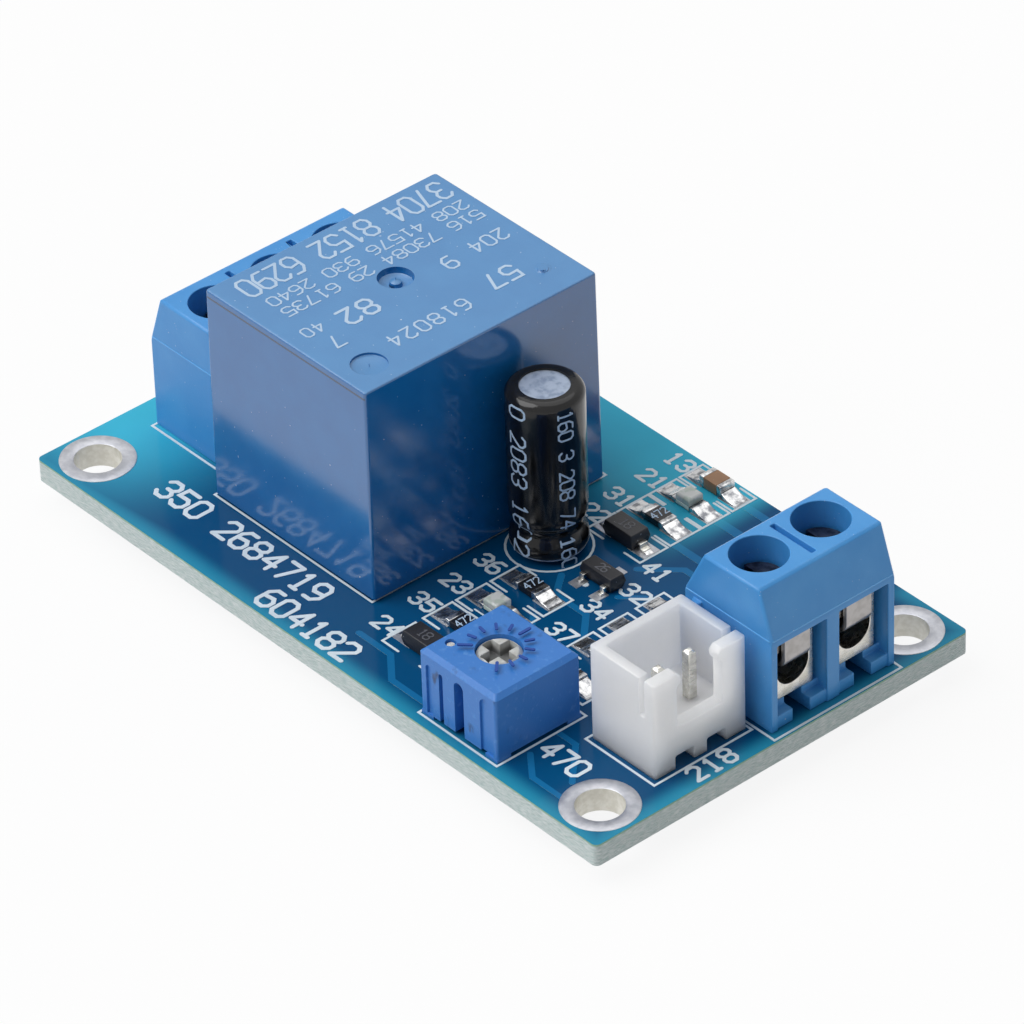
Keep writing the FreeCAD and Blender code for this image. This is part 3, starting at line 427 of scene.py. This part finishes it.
def make_finishes():
    """All the finishes, by name."""
    made = [
        # The second colour of each lacquer is bare laminate brightened by a painted glow of light shining
        # up through the board.
        make_solder_mask("solder_mask", srgb(5, 72, 116), srgb(58, 178, 208)),
        make_solder_mask("track_lacquer", srgb(22, 102, 152), srgb(64, 178, 204)),
        make_tinned_copper(), make_relay_blue(), make_trimmer_blue(), make_header_white(),
        make_sleeve_black(), make_lens(),
        metal("solder", srgb(214, 214, 214), srgb(112, 114, 120), 0.22, 2.2, 0.12, 0.95),
        metal("tinned_leads", srgb(226, 224, 217), srgb(204, 202, 195), 0.26, 4.0, 0.02),
        metal("clamp_plating", srgb(222, 219, 212), srgb(204, 200, 190), 0.24, 3.0, 0.015),
        metal("leaf_steel", srgb(170, 167, 166), srgb(156, 153, 151), 0.32, 5.0, 0.015),
        metal("screw_steel", srgb(96, 100, 112), srgb(60, 64, 76), 0.34, 4.0, 0.02),
        metal("can_aluminium", srgb(172, 184, 202), srgb(138, 152, 174), 0.42, 7.0, 0.03, 0.7),
        plastic("relay_potting", srgb(34, 40, 52), srgb(22, 26, 36), 0.4, 1.0, 0.05),
        plastic("terminal_blue", srgb(60, 140, 206), srgb(76, 152, 214), 0.36, 7.0, 0.02),
        # Painted highlight: the parting line's paler blue stands for the light its ridge catches.
        plastic("parting_line_highlight", srgb(96, 166, 222), srgb(120, 184, 232), 0.4, 5.0, 0.01),
        make_rotor_white(),
        plastic("bung_rubber", srgb(24, 24, 26), srgb(40, 40, 42), 0.7, 4.0, 0.03),
        plastic("chip_black", srgb(22, 22, 27), srgb(34, 34, 40), 0.26, 6.0, 0.01),
        plastic("chip_ceramic", srgb(150, 112, 80), srgb(112, 78, 54), 0.34, 5.0, 0.02),
        plastic("led_base", srgb(216, 222, 214), srgb(176, 196, 178), 0.5, 4.0, 0.02),
        plastic("moulding_black", srgb(24, 24, 28), srgb(40, 40, 45), 0.42, 8.0, 0.02),
        plastic("board_print", srgb(214, 224, 230), srgb(190, 204, 214), 0.55, 5.0, 0.01),
        plastic("pale_print", srgb(178, 200, 222), srgb(160, 186, 214), 0.5, 5.0, 0.01),
        plastic("faint_print", srgb(92, 94, 100), srgb(70, 72, 78), 0.5, 5.0, 0.01),
        # Painted shade: the ticks' dark blue stands for the shade in the dial's moulded grooves.
        plastic("tick_groove_shade", srgb(22, 66, 146), srgb(30, 78, 158), 0.5, 5.0, 0.01),
    ]
    return {finish.slot: finish for finish in made}


# ---------------------------------------------------------------- pieces

def shown(mesh, name):
    piece = bpy.data.objects.new(name, mesh)
    bpy.context.scene.collection.objects.link(piece)
    return piece


def dress(piece, finish, body="module", stands_for=()):
    """Gives a piece its finish and the body it rides on, and hides the CAD nodes it stands for."""
    piece.data.materials.clear()
    piece.data.materials.append(finish.material)
    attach(piece, body)
    if stands_for:
        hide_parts(*stands_for)
    return piece


def cleaned(node):
    """A node's shape with its flat faces whole again, ready for rounding."""
    shape = bmesh.new()
    shape.from_mesh(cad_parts[node].data)
    bmesh.ops.remove_doubles(shape, verts=shape.verts, dist=0.5e-6)
    bmesh.ops.dissolve_limit(shape, angle_limit=math.radians(0.8), verts=shape.verts, edges=shape.edges)
    mesh = bpy.data.meshes.new(node + "_shape")
    shape.to_mesh(mesh)
    shape.free()
    for layer in ("custom_normal", "sharp_edge", "sharp_face"):
        if layer in mesh.attributes:
            mesh.attributes.remove(mesh.attributes[layer])
    mesh.materials.clear()
    return mesh


def settled(piece, name):
    """The piece with its modifiers made part of its mesh."""
    drawn = piece.evaluated_get(bpy.context.evaluated_depsgraph_get())
    mesh = bpy.data.meshes.new_from_object(drawn)
    bpy.data.objects.remove(piece)
    return shown(mesh, name)


def even_flats(piece):
    """Keeps the flats between rounded edges flat to the eye."""
    weigh = piece.modifiers.new("flats", "WEIGHTED_NORMAL")
    weigh.weight = 80
    weigh.keep_sharp = True


def rounded(node, radius, held=False, levelled=()):
    """A copy of a CAD node with its edges rounded as a mould or a plating leaves them.

    held keeps a bevel from passing its neighbours. levelled moves corners from one height to another.
    """
    piece = shown(cleaned(node), node + "_raw")
    for old, new in levelled:
        for corner in piece.data.vertices:
            if abs(corner.co.z - on_board(0, 0, old).z) < 0.01 * MM:
                corner.co.z = on_board(0, 0, new).z
    for face in piece.data.polygons:
        face.use_smooth = True
    bevel = piece.modifiers.new("edges", "BEVEL")
    bevel.width = radius * MM
    bevel.segments = 3
    bevel.limit_method = "ANGLE"
    bevel.angle_limit = math.radians(32)
    bevel.use_clamp_overlap = held
    bevel.miter_outer = "MITER_ARC"
    even_flats(piece)
    return settled(piece, node + "_look")


def bridged(shape, rings):
    """Adds the faces between each ring of points and the next."""
    for ring, above in zip(rings, rings[1:]):
        for index in range(len(ring)):
            after = (index + 1) % len(ring)
            shape.faces.new((ring[index], ring[after], above[after], above[index]))


def turned(shape, centre, profile, sides):
    """Adds a closed profile of (radius, height) points in mm, turned about an upright line."""
    rings = []
    for radius, height in profile:
        ring = []
        for side in range(sides):
            turn = 2 * math.pi * side / sides
            offset = Vector((radius * math.cos(turn), radius * math.sin(turn), height)) * MM
            ring.append(shape.verts.new(centre + offset))
        rings.append(ring)
    bridged(shape, rings + rings[:1])


def finished(shape, name, crease=35):
    """A mesh piece from a drawn shape, smooth but for edges sharper than the crease."""
    bmesh.ops.remove_doubles(shape, verts=shape.verts, dist=1e-7)
    bmesh.ops.recalc_face_normals(shape, faces=shape.faces)
    mesh = bpy.data.meshes.new(name)
    shape.to_mesh(mesh)
    shape.free()
    for face in mesh.polygons:
        face.use_smooth = True
    mesh.set_sharp_from_angle(angle=math.radians(crease))
    return shown(mesh, name)


def islands(node):
    """The lowest and highest corner of each separate solid of a node."""
    shape = bmesh.new()
    shape.from_mesh(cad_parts[node].data)
    bmesh.ops.remove_doubles(shape, verts=shape.verts, dist=0.5e-6)
    left = set(shape.verts)
    found = []
    while left:
        group = [left.pop()]
        for vert in group:
            for edge in vert.link_edges:
                other = edge.other_vert(vert)
                if other in left:
                    left.discard(other)
                    group.append(other)
        low = Vector([min(vert.co[i] for vert in group) for i in range(3)])
        high = Vector([max(vert.co[i] for vert in group) for i in range(3)])
        found.append((low, high))
    shape.free()
    return sorted(found, key=lambda pair: tuple(pair[0]))


def make_rounded_parts(finishes):
    """CAD nodes whose moulded or stamped edges only need rounding: node, finish and edge radius."""
    for node, slot, radius in (
            ("relay_base", "relay_potting", 0.05),
            ("two_way_housing", "terminal_blue", 0.07), ("three_way_housing", "terminal_blue", 0.07),
            ("two_way_clamps", "clamp_plating", 0.05), ("three_way_clamps", "clamp_plating", 0.05),
            ("header_pins", "tinned_leads", 0.05),
            ("resistor_bodies", "chip_black", 0.03),
            ("resistor_ends", "solder", 0.04), ("led_bases", "led_base", 0.03),
            ("led_ends", "solder", 0.04), ("led_lenses", "led_lens", 0.06),
            ("ceramic_body", "chip_ceramic", 0.05), ("ceramic_ends", "solder", 0.06),
            ("diode_bodies", "moulding_black", 0.05), ("diode_leads", "tinned_leads", 0.03),
            ("transistor_body", "moulding_black", 0.04), ("transistor_leads", "tinned_leads", 0.03)):
        dress(rounded(node, radius), finishes[slot], stands_for=[node])
    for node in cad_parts:
        if "_leaf_" in node:
            dress(rounded(node, 0.06), finishes["leaf_steel"], body=node, stands_for=[node])
        if "_screw_" in node:
            dress(rounded(node, 0.05), finishes["screw_steel"], body=node, stands_for=[node])
    dress(rounded("header_housing", 0.1, levelled=[(1.4, 0.95)]), finishes["header_white"],
          stands_for=["header_housing"])
    dress(rounded("trimmer_housing", 0.07, held=True), finishes["trimmer_blue"],
          stands_for=["trimmer_housing"])
    dress(rounded("trimmer_rotor", 0.05), finishes["rotor_white"], body="trimmer_rotor",
          stands_for=["trimmer_rotor"])


def make_parting_lines(finishes):
    """The fine seam that the mould leaves round each terminal, at the foot of its slope, in a paler blue
    that paints the highlight it catches.
    """
    corner = 0.22
    for terminal, (left, right, near, far) in TERMINALS.items():
        shape = bmesh.new()
        rings = []
        for height, proud in ((6.84, -0.05), (6.86, 0.03), (6.9, 0.045), (6.94, 0.03), (6.96, -0.05)):
            west, east, south, north = left - proud, right + proud, near - proud, far + proud
            rings.append([shape.verts.new(on_board(x, y, height)) for x, y in (
                (west + corner, south), (east - corner, south),
                (east, south + corner), (east, north - corner),
                (east - corner, north), (west + corner, north),
                (west, north - corner), (west, south + corner))])
        bridged(shape, rings)
        dress(finished(shape, terminal + "_parting_line", 30), finishes["parting_line_highlight"])


def make_mounting_rings(finishes):
    """Four plated holes: a ring on each face joined by the barrel."""
    shape = bmesh.new()
    copper, under = 0.05, -BOARD_THICKNESS
    profile = [(1.55, under - copper), (2.46, under - copper), (2.5, under), (1.63, under),
               (1.63, 0.0), (2.5, 0.0), (2.49, copper * 0.7), (2.45, copper), (1.58, copper),
               (1.55, copper - 0.02)]
    for x in HOLES_X:
        for y in HOLES_Y:
            turned(shape, on_board(x, y), profile, 72)
    dress(finished(shape, "mounting_hole_rings_look"), finishes["tinned_copper"],
          stands_for=["mounting_hole_rings"])


def make_joint_cones(finishes):
    """Hollow-sided solder cones round the lead tips under the board."""
    shape = bmesh.new()
    for low, high in islands("underside_solder"):
        centre = Vector(((low.x + high.x) / 2, (low.y + high.y) / 2, high.z))
        reach = (high.x - low.x) / 2 / MM
        depth = (high.z - low.z) / MM
        profile = [(0.02, 0.0), (reach, 0.0)]
        for step in range(1, 7):
            share = step / 6
            profile.append((reach * (0.42 + 0.58 * (1 - share) ** 2.2), -depth * share))
        profile.append((0.02, -depth))
        turned(shape, centre, profile, 24)
    dress(finished(shape, "underside_solder_look", 50), finishes["solder"],
          stands_for=["underside_solder"])


def make_solder_blobs(finishes):
    """The fillets at the chips, melted smooth from their plain solids."""
    piece = shown(cleaned("surface_solder"), "surface_solder_raw")
    melt = piece.modifiers.new("melt", "REMESH")
    melt.mode = "VOXEL"
    melt.voxel_size = 0.055 * MM
    melt.use_smooth_shade = True
    soften = piece.modifiers.new("soften", "SMOOTH")
    soften.factor = 0.6
    soften.iterations = 5
    dress(settled(piece, "surface_solder_look"), finishes["solder"], stands_for=["surface_solder"])


def make_relay_cover(finishes):
    """The drawn-up cover: crisp corners, a vent dish with its nub, and the ejector's mark."""
    middle_x = RELAY_LEFT + RELAY_X / 2
    middle_y = RELAY_NEAR + RELAY_Y / 2
    edge = 0.16
    levels = [(0.25, 0.0, 0.2), (RELAY_TOP - edge, 0.1, 0.2)]
    for step in range(1, 5):
        turn = math.pi / 2 * step / 4
        levels.append((RELAY_TOP - edge + edge * math.sin(turn), 0.1 + edge * (1 - math.cos(turn)), 0.2))
    shape = bmesh.new()
    rings = []
    for height, inset, radius in levels:
        ring = []
        for corner, (side_x, side_y) in enumerate(((1, 1), (-1, 1), (-1, -1), (1, -1))):
            for step in range(6):
                turn = math.radians(90 * corner + 90 * step / 5)
                x = middle_x + side_x * (RELAY_X / 2 - inset - radius) + radius * math.cos(turn)
                y = middle_y + side_y * (RELAY_Y / 2 - inset - radius) + radius * math.sin(turn)
                ring.append(shape.verts.new(on_board(x, y, height)))
        rings.append(ring)
    bridged(shape, rings)
    shape.faces.new(rings[-1])
    shape.faces.new(rings[0][::-1])
    mesh = bpy.data.meshes.new("relay_cover_raw")
    shape.to_mesh(mesh)
    shape.free()
    cover = shown(mesh, "relay_cover_raw")
    recesses = bmesh.new()
    vent_x = middle_x - 0.5
    turned(recesses, on_board(vent_x, middle_y, RELAY_TOP),
           [(0.02, 0.3), (1.18, 0.3), (1.18, -0.2), (1.1, -0.42), (0.85, -0.55), (0.45, -0.55),
            (0.36, -0.3), (0.2, -0.2), (0.02, -0.18)], 48)
    mark_x = RELAY_LEFT + RELAY_X - 2.35
    turned(recesses, on_board(mark_x, RELAY_NEAR + 2.35, RELAY_TOP),
           [(0.02, 0.3), (1.2, 0.3), (1.19, -0.16), (1.1, -0.2), (0.02, -0.2)], 48)
    low, high = on_board(RELAY_LEFT + 0.3, RELAY_NEAR + 0.3, 0.0), on_board(
        RELAY_LEFT + RELAY_X - 0.3, RELAY_NEAR + RELAY_Y - 0.3, 0.75)
    corners = [recesses.verts.new((x, y, z)) for z in (low.z, high.z)
               for x, y in ((low.x, low.y), (high.x, low.y), (high.x, high.y), (low.x, high.y))]
    for quad in ((0, 1, 2, 3), (4, 5, 6, 7), (0, 1, 5, 4), (1, 2, 6, 5), (2, 3, 7, 6), (3, 0, 4, 7)):
        recesses.faces.new([corners[index] for index in quad])
    cutter = finished(recesses, "relay_recesses")
    cut = cover.modifiers.new("recesses", "BOOLEAN")
    cut.operation = "DIFFERENCE"
    cut.object = cutter
    cut.solver = "EXACT"
    cover = settled(cover, "relay_cover_cut")
    bpy.data.objects.remove(cutter)
    for face in cover.data.polygons:
        face.use_smooth = True
    cover.data.set_sharp_from_angle(angle=math.radians(38))
    even_flats(cover)
    dress(settled(cover, "relay_cover_look"), finishes["relay_blue"], stands_for=["relay_cover"])


def sleeve_radius(height):
    """The sleeve's outside over the rolled crimp, at a height above the board."""
    return SLEEVE_RADIUS - 0.42 * math.exp(-((height - 2.25) / 0.52) ** 2)


def make_capacitor(finishes):
    """Shrunk sleeve with a soft shoulder and crimp, open over the can's top."""
    bottom, top, shoulder, opening, skin = 0.5, SLEEVE_TOP, 0.62, 1.62, 0.1
    outside = [(1.75, bottom), (2.2, bottom), (2.42, bottom + 0.1)]
    for step in range(30):
        height = bottom + 0.3 + (top - shoulder - bottom - 0.3) * step / 29
        outside.append((sleeve_radius(height), height))
    for step in range(1, 9):
        turn = math.pi / 2 * step / 8
        outside.append((SLEEVE_RADIUS - shoulder + shoulder * math.cos(turn),
                        top - shoulder + shoulder * math.sin(turn)))
    outside.append((opening, top - 0.01))
    inside = [(opening - 0.03, top - skin), (1.75, top - skin - 0.02), (1.6, bottom + skin)]
    shape = bmesh.new()
    turned(shape, on_board(CAPACITOR_X, CAPACITOR_Y), outside + inside, 96)
    dress(finished(shape, "capacitor_sleeve_look", 50), finishes["sleeve_black"],
          stands_for=["capacitor_sleeve"])


# ---------------------------------------------------------------- printed numbers and lines

NUMERALS = {
    "0": [[(1, 0), (3, 0), (4, 1), (4, 5), (3, 6), (1, 6), (0, 5), (0, 1), (1, 0)]],
    "1": [[(1, 5), (2, 6), (2, 0)], [(1, 0), (3, 0)]],
    "2": [[(0, 5), (1, 6), (3, 6), (4, 5), (4, 4), (0, 0), (4, 0)]],
    "3": [[(0, 5), (1, 6), (3, 6), (4, 5), (4, 4), (3, 3), (4, 2), (4, 1), (3, 0), (1, 0), (0, 1)],
          [(1.5, 3), (3, 3)]],
    "4": [[(3, 0), (3, 6), (0, 2), (4, 2)]],
    "5": [[(4, 6), (0.2, 6), (0, 3.4), (3, 3.5), (4, 2.6), (4, 1), (3, 0), (1, 0), (0, 1)]],
    "6": [[(3.6, 6), (1.4, 6), (0, 4.4), (0, 1), (1, 0), (3, 0), (4, 1), (4, 2.4), (3, 3.4), (0, 3)]],
    "7": [[(0, 6), (4, 6), (1.5, 0)]],
    "8": [[(1, 0), (3, 0), (4, 1), (4, 2.2), (3, 3.1), (1, 3.1), (0, 2.2), (0, 1), (1, 0)],
          [(1, 3.1), (0, 4), (0, 5), (1, 6), (3, 6), (4, 5), (4, 4), (3, 3.1)]],
    "9": [[(0.4, 0), (2.6, 0), (4, 1.6), (4, 5), (3, 6), (1, 6), (0, 5), (0, 3.6), (1, 2.6), (4, 3)]],
}


class Print:
    """Thin raised print: lines and numerals on a surface that place(u, v, height) describes in mm."""

    def __init__(self, place, thickness=0.02):
        self.shape = bmesh.new()
        self.place = place
        self.thickness = thickness
        self.strips = 0

    def strip(self, points, width, closed):
        """One even band along the points, with mitred corners and round ends."""
        points = [Vector(point) for point in points]
        if closed:
            points = points[:-1]
        count = len(points)
        half = width / 2
        left, right = [], []
        for index, point in enumerate(points):
            before = points[index - 1] if index or closed else None
            after = points[(index + 1) % count] if index + 1 < count or closed else None
            sides = []
            for start, end in ((before, point), (point, after)):
                if start is not None and end is not None:
                    ahead = (end - start).normalized()
                    sides.append(Vector((-ahead.y, ahead.x)))
            mitre = sum(sides, Vector((0, 0))).normalized()
            reach = half / max(0.5, mitre.dot(sides[0]))
            left.append(point + mitre * reach)
            right.append(point - mitre * reach)
        outline = left + right[::-1]
        if not closed:
            def cap(centre, first):
                spoke = first - centre
                return [centre + Matrix.Rotation(math.radians(turn), 2) @ spoke
                        for turn in (-45, -90, -135)]
            outline = left + cap(points[-1], left[-1]) + right[::-1] + cap(points[0], right[0])
        lift = self.thickness * (1 + 0.12 * (self.strips % 6))
        self.strips += 1

        def raised(spots, start, end):
            rise = (end - start) / len(spots)
            return [self.shape.verts.new(self.place(spot.x, spot.y, start + rise * index))
                    for index, spot in enumerate(spots)]
        crest = lift * (1 if closed else 1.2)
        tops = {}
        for name, spots in (("left", left), ("right", right)):
            tops[name] = raised(spots, lift, crest)
        last = count if closed else count - 1
        for index in range(last):
            after = (index + 1) % count
            self.shape.faces.new((tops["right"][index], tops["right"][after],
                                  tops["left"][after], tops["left"][index]))
        if closed:
            loops = (tops["left"], tops["right"][::-1])
        else:
            far = raised(cap(points[-1], left[-1]), crest, crest)
            near = raised(cap(points[0], right[0]), lift, lift)
            self.shape.faces.new([tops["left"][-1]] + far + [tops["right"][-1]])
            self.shape.faces.new([tops["right"][0]] + near + [tops["left"][0]])
            loops = (tops["left"] + far + tops["right"][::-1] + near,)
        rims = (left, right[::-1]) if closed else (outline,)
        for loop, rim in zip(loops, rims):
            foot = raised(rim, -0.01, -0.01)
            for index in range(len(loop)):
                after = (index + 1) % len(loop)
                self.shape.faces.new((foot[index], foot[after], loop[after], loop[index]))

    def line(self, points, width, step=None):
        """A polyline, broken where it doubles back. step divides long runs, for a curved surface."""
        points = [Vector(point) for point in points]
        if step:
            fine = [points[0]]
            for start, end in zip(points, points[1:]):
                pieces = max(1, math.ceil((end - start).length / step))
                fine += [start.lerp(end, (index + 1) / pieces) for index in range(pieces)]
            points = fine
        run = [points[0]]
        for index in range(1, len(points)):
            run.append(points[index])
            if index + 1 < len(points):
                ahead = (points[index] - points[index - 1]).normalized()
                if ahead.dot((points[index + 1] - points[index]).normalized()) < -0.2:
                    self.strip(run, width, False)
                    run = [points[index]]
        closed = len(run) > 3 and (run[0] - run[-1]).length < 1e-6
        self.strip(run, width, closed)

    def numbers(self, text, start, along, height, pitch, width, narrow=0.62, step=None):
        """Numerals from start, reading towards along, a unit direction in the surface."""
        ahead = Vector(along)
        up = Vector((-ahead.y, ahead.x))
        for index, mark in enumerate(text):
            corner = Vector(start) + ahead * pitch * index
            for run in NUMERALS.get(mark, []):
                self.line([corner + ahead * (u / 4 * height * narrow) + up * (v / 6 * height)
                           for u, v in run], width, step)

    def finish(self, name, finish, slot):
        mesh = bpy.data.meshes.new(name)
        self.shape.to_mesh(mesh)
        self.shape.free()
        dress(shown(mesh, name), finish)


def box_line(left, near, right, far):
    """A closed rectangle's corners."""
    return [(left, near), (right, near), (right, far), (left, far), (left, near)]


def make_board_print(finishes):
    """White outlines round the parts and plain numbers beside them."""
    lines = Print(on_board)
    fine = 0.16
    lines.line(box_line(10.83, 5.8, 26.2, 25.16), fine)
    for near, far in ((25.8, 28.1), (23.1, 25.65), (20.55, 22.87), (12.55, 14.97), (9.72, 12.2),
                      (7.03, 9.41), (3.74, 6.4)):
        lines.line([(31.1, near), (29.6, near), (29.6, far), (31.1, far)], fine)
        lines.line([(33.1, near), (34.55, near), (34.55, far), (33.1, far)], fine)
    lines.line([(31.1, 28.35), (29.6, 28.35), (29.6, 30.35), (31.1, 30.35)], fine)
    lines.line([(33.1, 28.35), (34.55, 28.35), (34.55, 30.35), (33.1, 30.35)], fine)
    lines.line([(31.1, 9.45), (33.2, 9.45)], fine)
    lines.line([(31.1, 9.95), (33.2, 9.95)], 0.12)
    for far in (19.58, 16.56, 13.73, 10.8):
        near = far - 2.35
        lines.line([(39.3, near), (37.85, near), (37.85, far), (39.3, far)], fine)
        lines.line([(41.3, near), (42.8, near), (42.8, far), (41.3, far)], fine)
    lines.line([(8.75, 7.59), (2.34, 7.58), (2.34, 23.5), (8.75, 23.5)], fine)
    lines.line([(45.0, 14.55), (53.32, 14.58), (53.34, 25.08), (45.0, 25.2)], fine)
    lines.line(box_line(45.42, 6.38, 51.6, 14.3), fine)
    lines.line(box_line(36.53, 0.72, 43.75, 7.9), fine)
    ring = []
    for side in range(33):
        turn = 2 * math.pi * side / 32
        ring.append((CAPACITOR_X + 2.78 * math.cos(turn), CAPACITOR_Y + 2.78 * math.sin(turn)))
    lines.line(ring, fine)
    lines.line([(33.86, 16.6), (33.92, 16.6)], 0.42)
    lines.numbers("350 2684719", (7.9, 3.15), (1, 0), 1.75, 1.47, 0.3)
    lines.numbers("604182", (21.0, 0.55), (1, 0), 1.75, 1.47, 0.3)
    for text, x, y in (
            ("13", 28.42, 29.47), ("21", 28.52, 27.05), ("31", 28.55, 24.25), ("22", 28.73, 21.99),
            ("41", 35.94, 20.69), ("32", 36.75, 18.23), ("34", 36.29, 15.39), ("37", 36.55, 12.27),
            ("36", 28.22, 13.69), ("23", 28.32, 10.86), ("35", 28.39, 8.18), ("24", 28.70, 4.95)):
        lines.numbers(text, (x - 0.95, y - 0.6), (1, 0), 1.2, 1.1, 0.23, 0.66)
    lines.numbers("470", (44.3, 3.4), (1, 0), 1.5, 1.25, 0.26)
    lines.numbers("218", (53.1, 8.6), (0, 1), 1.3, 1.25, 0.24)
    lines.finish("board_print", finishes["board_print"], "solder_mask")


def make_relay_print(finishes):
    """Rows of plain numbers on the relay's top, read from the far side towards the near one."""
    rows = Print(lambda x, y, height: on_board(x, y, RELAY_TOP + height), 0.015)
    down = (0, -1)
    rows.numbers("3704 8152 6290", (11.85, 24.0), down, 1.9, 1.2, 0.2, 0.5)
    rows.numbers("208 41576 930 2640", (14.5, 23.8), down, 0.95, 0.9, 0.12, 0.72)
    rows.numbers("516 73084 29 61735", (15.95, 23.8), down, 0.95, 0.9, 0.12, 0.72)
    rows.numbers("204", (18.5, 23.5), down, 1.15, 1.0, 0.14)
    rows.numbers("9", (18.6, 19.2), down, 1.3, 1.0, 0.16)
    rows.numbers("82", (18.6, 12.5), down, 1.6, 1.45, 0.22)
    rows.numbers("40", (18.5, 8.7), down, 0.95, 0.9, 0.12)
    rows.numbers("7", (20.3, 8.6), down, 1.2, 0.9, 0.14)
    rows.numbers("57", (21.9, 21.3), down, 1.5, 1.35, 0.2)
    rows.numbers("618024", (22.7, 16.8), down, 1.15, 1.1, 0.14)
    rows.finish("relay_print", finishes["pale_print"], "relay_blue")


def make_sleeve_print(finishes):
    """Numbers down the capacitor's sleeve, and a stripe of dashes on its far side."""
    def wrapped(u, v, height):
        turn = v / SLEEVE_RADIUS
        radius = sleeve_radius(12.0 - u) + height + 0.005
        x = CAPACITOR_X + radius * math.cos(turn)
        return on_board(x, CAPACITOR_Y + radius * math.sin(turn), 12.0 - u)
    marks = Print(wrapped, 0.012)
    ahead = (1, 0)
    marks.numbers("160 3 208 74 160", (0.25, -1.0), ahead, 1.0, 0.75, 0.12, 0.6, 0.2)
    marks.numbers("0 2083 1602", (0.1, -4.4), ahead, 1.25, 1.04, 0.14, 0.62, 0.2)
    for row in range(6):
        start = 0.8 + row * 1.9
        marks.line([(start, 5.6), (start + 1.0, 5.6)], 0.3, 0.2)
    for side in (4.6, 6.6):
        marks.line([(0.1, side), (11.3, side)], 0.12, 0.2)
    marks.finish("sleeve_print", finishes["pale_print"], "sleeve_black")


def make_chip_marks(finishes):
    """Plain numbers on the resistors, diodes and transistor."""
    for name, node, text, height, narrow, along, ink, slot in (
            ("resistor_marks", "resistor_bodies", "472", 0.62, 0.55, (0, 1), "pale_print", "chip_black"),
            ("diode_marks", "diode_bodies", "18", 0.7, 0.62, (1, 0), "faint_print", "moulding_black"),
            ("transistor_marks", "transistor_body", "26", 0.6, 0.62, (1, 0), "faint_print",
             "moulding_black")):
        pitch = height * 0.72
        half_run = pitch * (len(text) - 1) / 2 + height * 0.25
        # Back by half the run, and down by half the height, from the middle of each top
        back = -Vector(along) * half_run - Vector((-along[1], along[0])) * height / 2
        marks = Print(None, 0.012)
        for low, high in islands(node):
            marks.place = lambda x, y, lift, level=high.z / MM: Vector((x, y, level + lift)) * MM
            middle = Vector(((low.x + high.x) / 2 / MM, (low.y + high.y) / 2 / MM))
            marks.numbers(text, middle + back, along, height, pitch, 0.08, narrow)
        marks.finish(name, finishes[ink], slot)


def make_trimmer_dial(finishes):
    """Ticks round the rotor, over three quarters of a turn: thin raised strips, dark blue as painted shade
    of the moulded grooves they stand for.
    """
    ticks = Print(lambda x, y, height: on_board(x, y, TRIMMER_DIAL_HEIGHT + height), 0.05)
    for index in range(11):
        turn = math.radians(-45 + 27 * index)
        spoke = Vector((math.cos(turn), math.sin(turn)))
        middle = Vector(TRIMMER_CENTRE)
        outer = 2.15 if index % 5 else 2.45
        ticks.line([middle + spoke * 1.66, middle + spoke * outer], 0.2)
    ticks.finish("trimmer_dial_ticks", finishes["tick_groove_shade"], "trimmer_blue")


def make_gate_spot(finishes):
    """The torn gate mark on the relay's top."""
    shape = bmesh.new()
    centre = on_board(23.92, 22.45, RELAY_TOP)
    for radius, lift in ((0.62, 0.01), (0.42, 0.06), (0.22, 0.1), (0.12, 0.15)):
        profile = [(0.01, -0.02), (radius, -0.02), (radius * 0.8, lift + 0.01), (0.01, lift + 0.02)]
        turned(shape, centre + Vector((0.2 - radius, radius - 0.3, 0)) * MM * 0.5, profile, 14)
    dress(finished(shape, "relay_gate_spot", 30), finishes["relay_blue"])


def make_tracks(finishes):
    """Copper runs that show paler, as low ridges under the lacquer."""
    runs = Print(on_board, 0.008)
    for points, width in (
            ([(32.1, 16.2), (33.4, 14.6), (36.2, 14.6), (38.2, 12.6)], 0.45),
            ([(34.9, 20.0), (37.0, 22.1), (43.2, 22.1)], 0.5),
            ([(34.4, 23.4), (37.4, 23.4), (38.6, 24.6), (43.6, 24.6)], 0.6),
            ([(36.2, 17.2), (37.4, 18.4), (44.0, 18.4)], 0.4),
            ([(35.4, 11.2), (37.2, 11.2)], 0.4),
            ([(34.0, 12.2), (35.2, 11.0), (35.2, 8.6), (36.4, 7.4)], 0.4),
            ([(43.9, 5.6), (45.4, 5.6), (48.0, 3.0)], 0.4),
            ([(44.2, 3.0), (46.0, 1.6), (49.2, 1.6)], 0.4),
            ([(34.6, 27.0), (37.8, 27.0), (39.0, 28.2), (46.5, 28.2)], 0.7),
            ([(34.6, 29.3), (46.8, 29.3)], 0.6),
            ([(28.0, 3.2), (31.0, 3.2), (33.0, 1.6), (36.0, 1.6)], 0.45)):
        runs.line(points, width)
    runs.finish("lacquered_tracks", finishes["track_lacquer"], "solder_mask")


# ---------------------------------------------------------------- the scene

bpy.context.scene.view_settings.view_transform = "Standard"
make_camera()
make_world()
make_lamps()
make_floor()
finishes = make_finishes()

for node, slot in (("circuit_board", "solder_mask"), ("surface_pads", "tinned_copper"),
                   ("relay_pins", "tinned_leads"), ("trimmer_leads", "tinned_leads"),
                   ("capacitor_leads", "tinned_leads"), ("capacitor_can", "can_aluminium"),
                   ("capacitor_bung", "bung_rubber")):
    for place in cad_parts[node].material_slots:
        place.material = finishes[slot].material

make_rounded_parts(finishes)
make_relay_cover(finishes)
make_parting_lines(finishes)
make_mounting_rings(finishes)
make_joint_cones(finishes)
make_solder_blobs(finishes)
make_capacitor(finishes)
make_tracks(finishes)
make_board_print(finishes)
make_relay_print(finishes)
make_sleeve_print(finishes)
make_chip_marks(finishes)
make_trimmer_dial(finishes)
make_gate_spot(finishes)
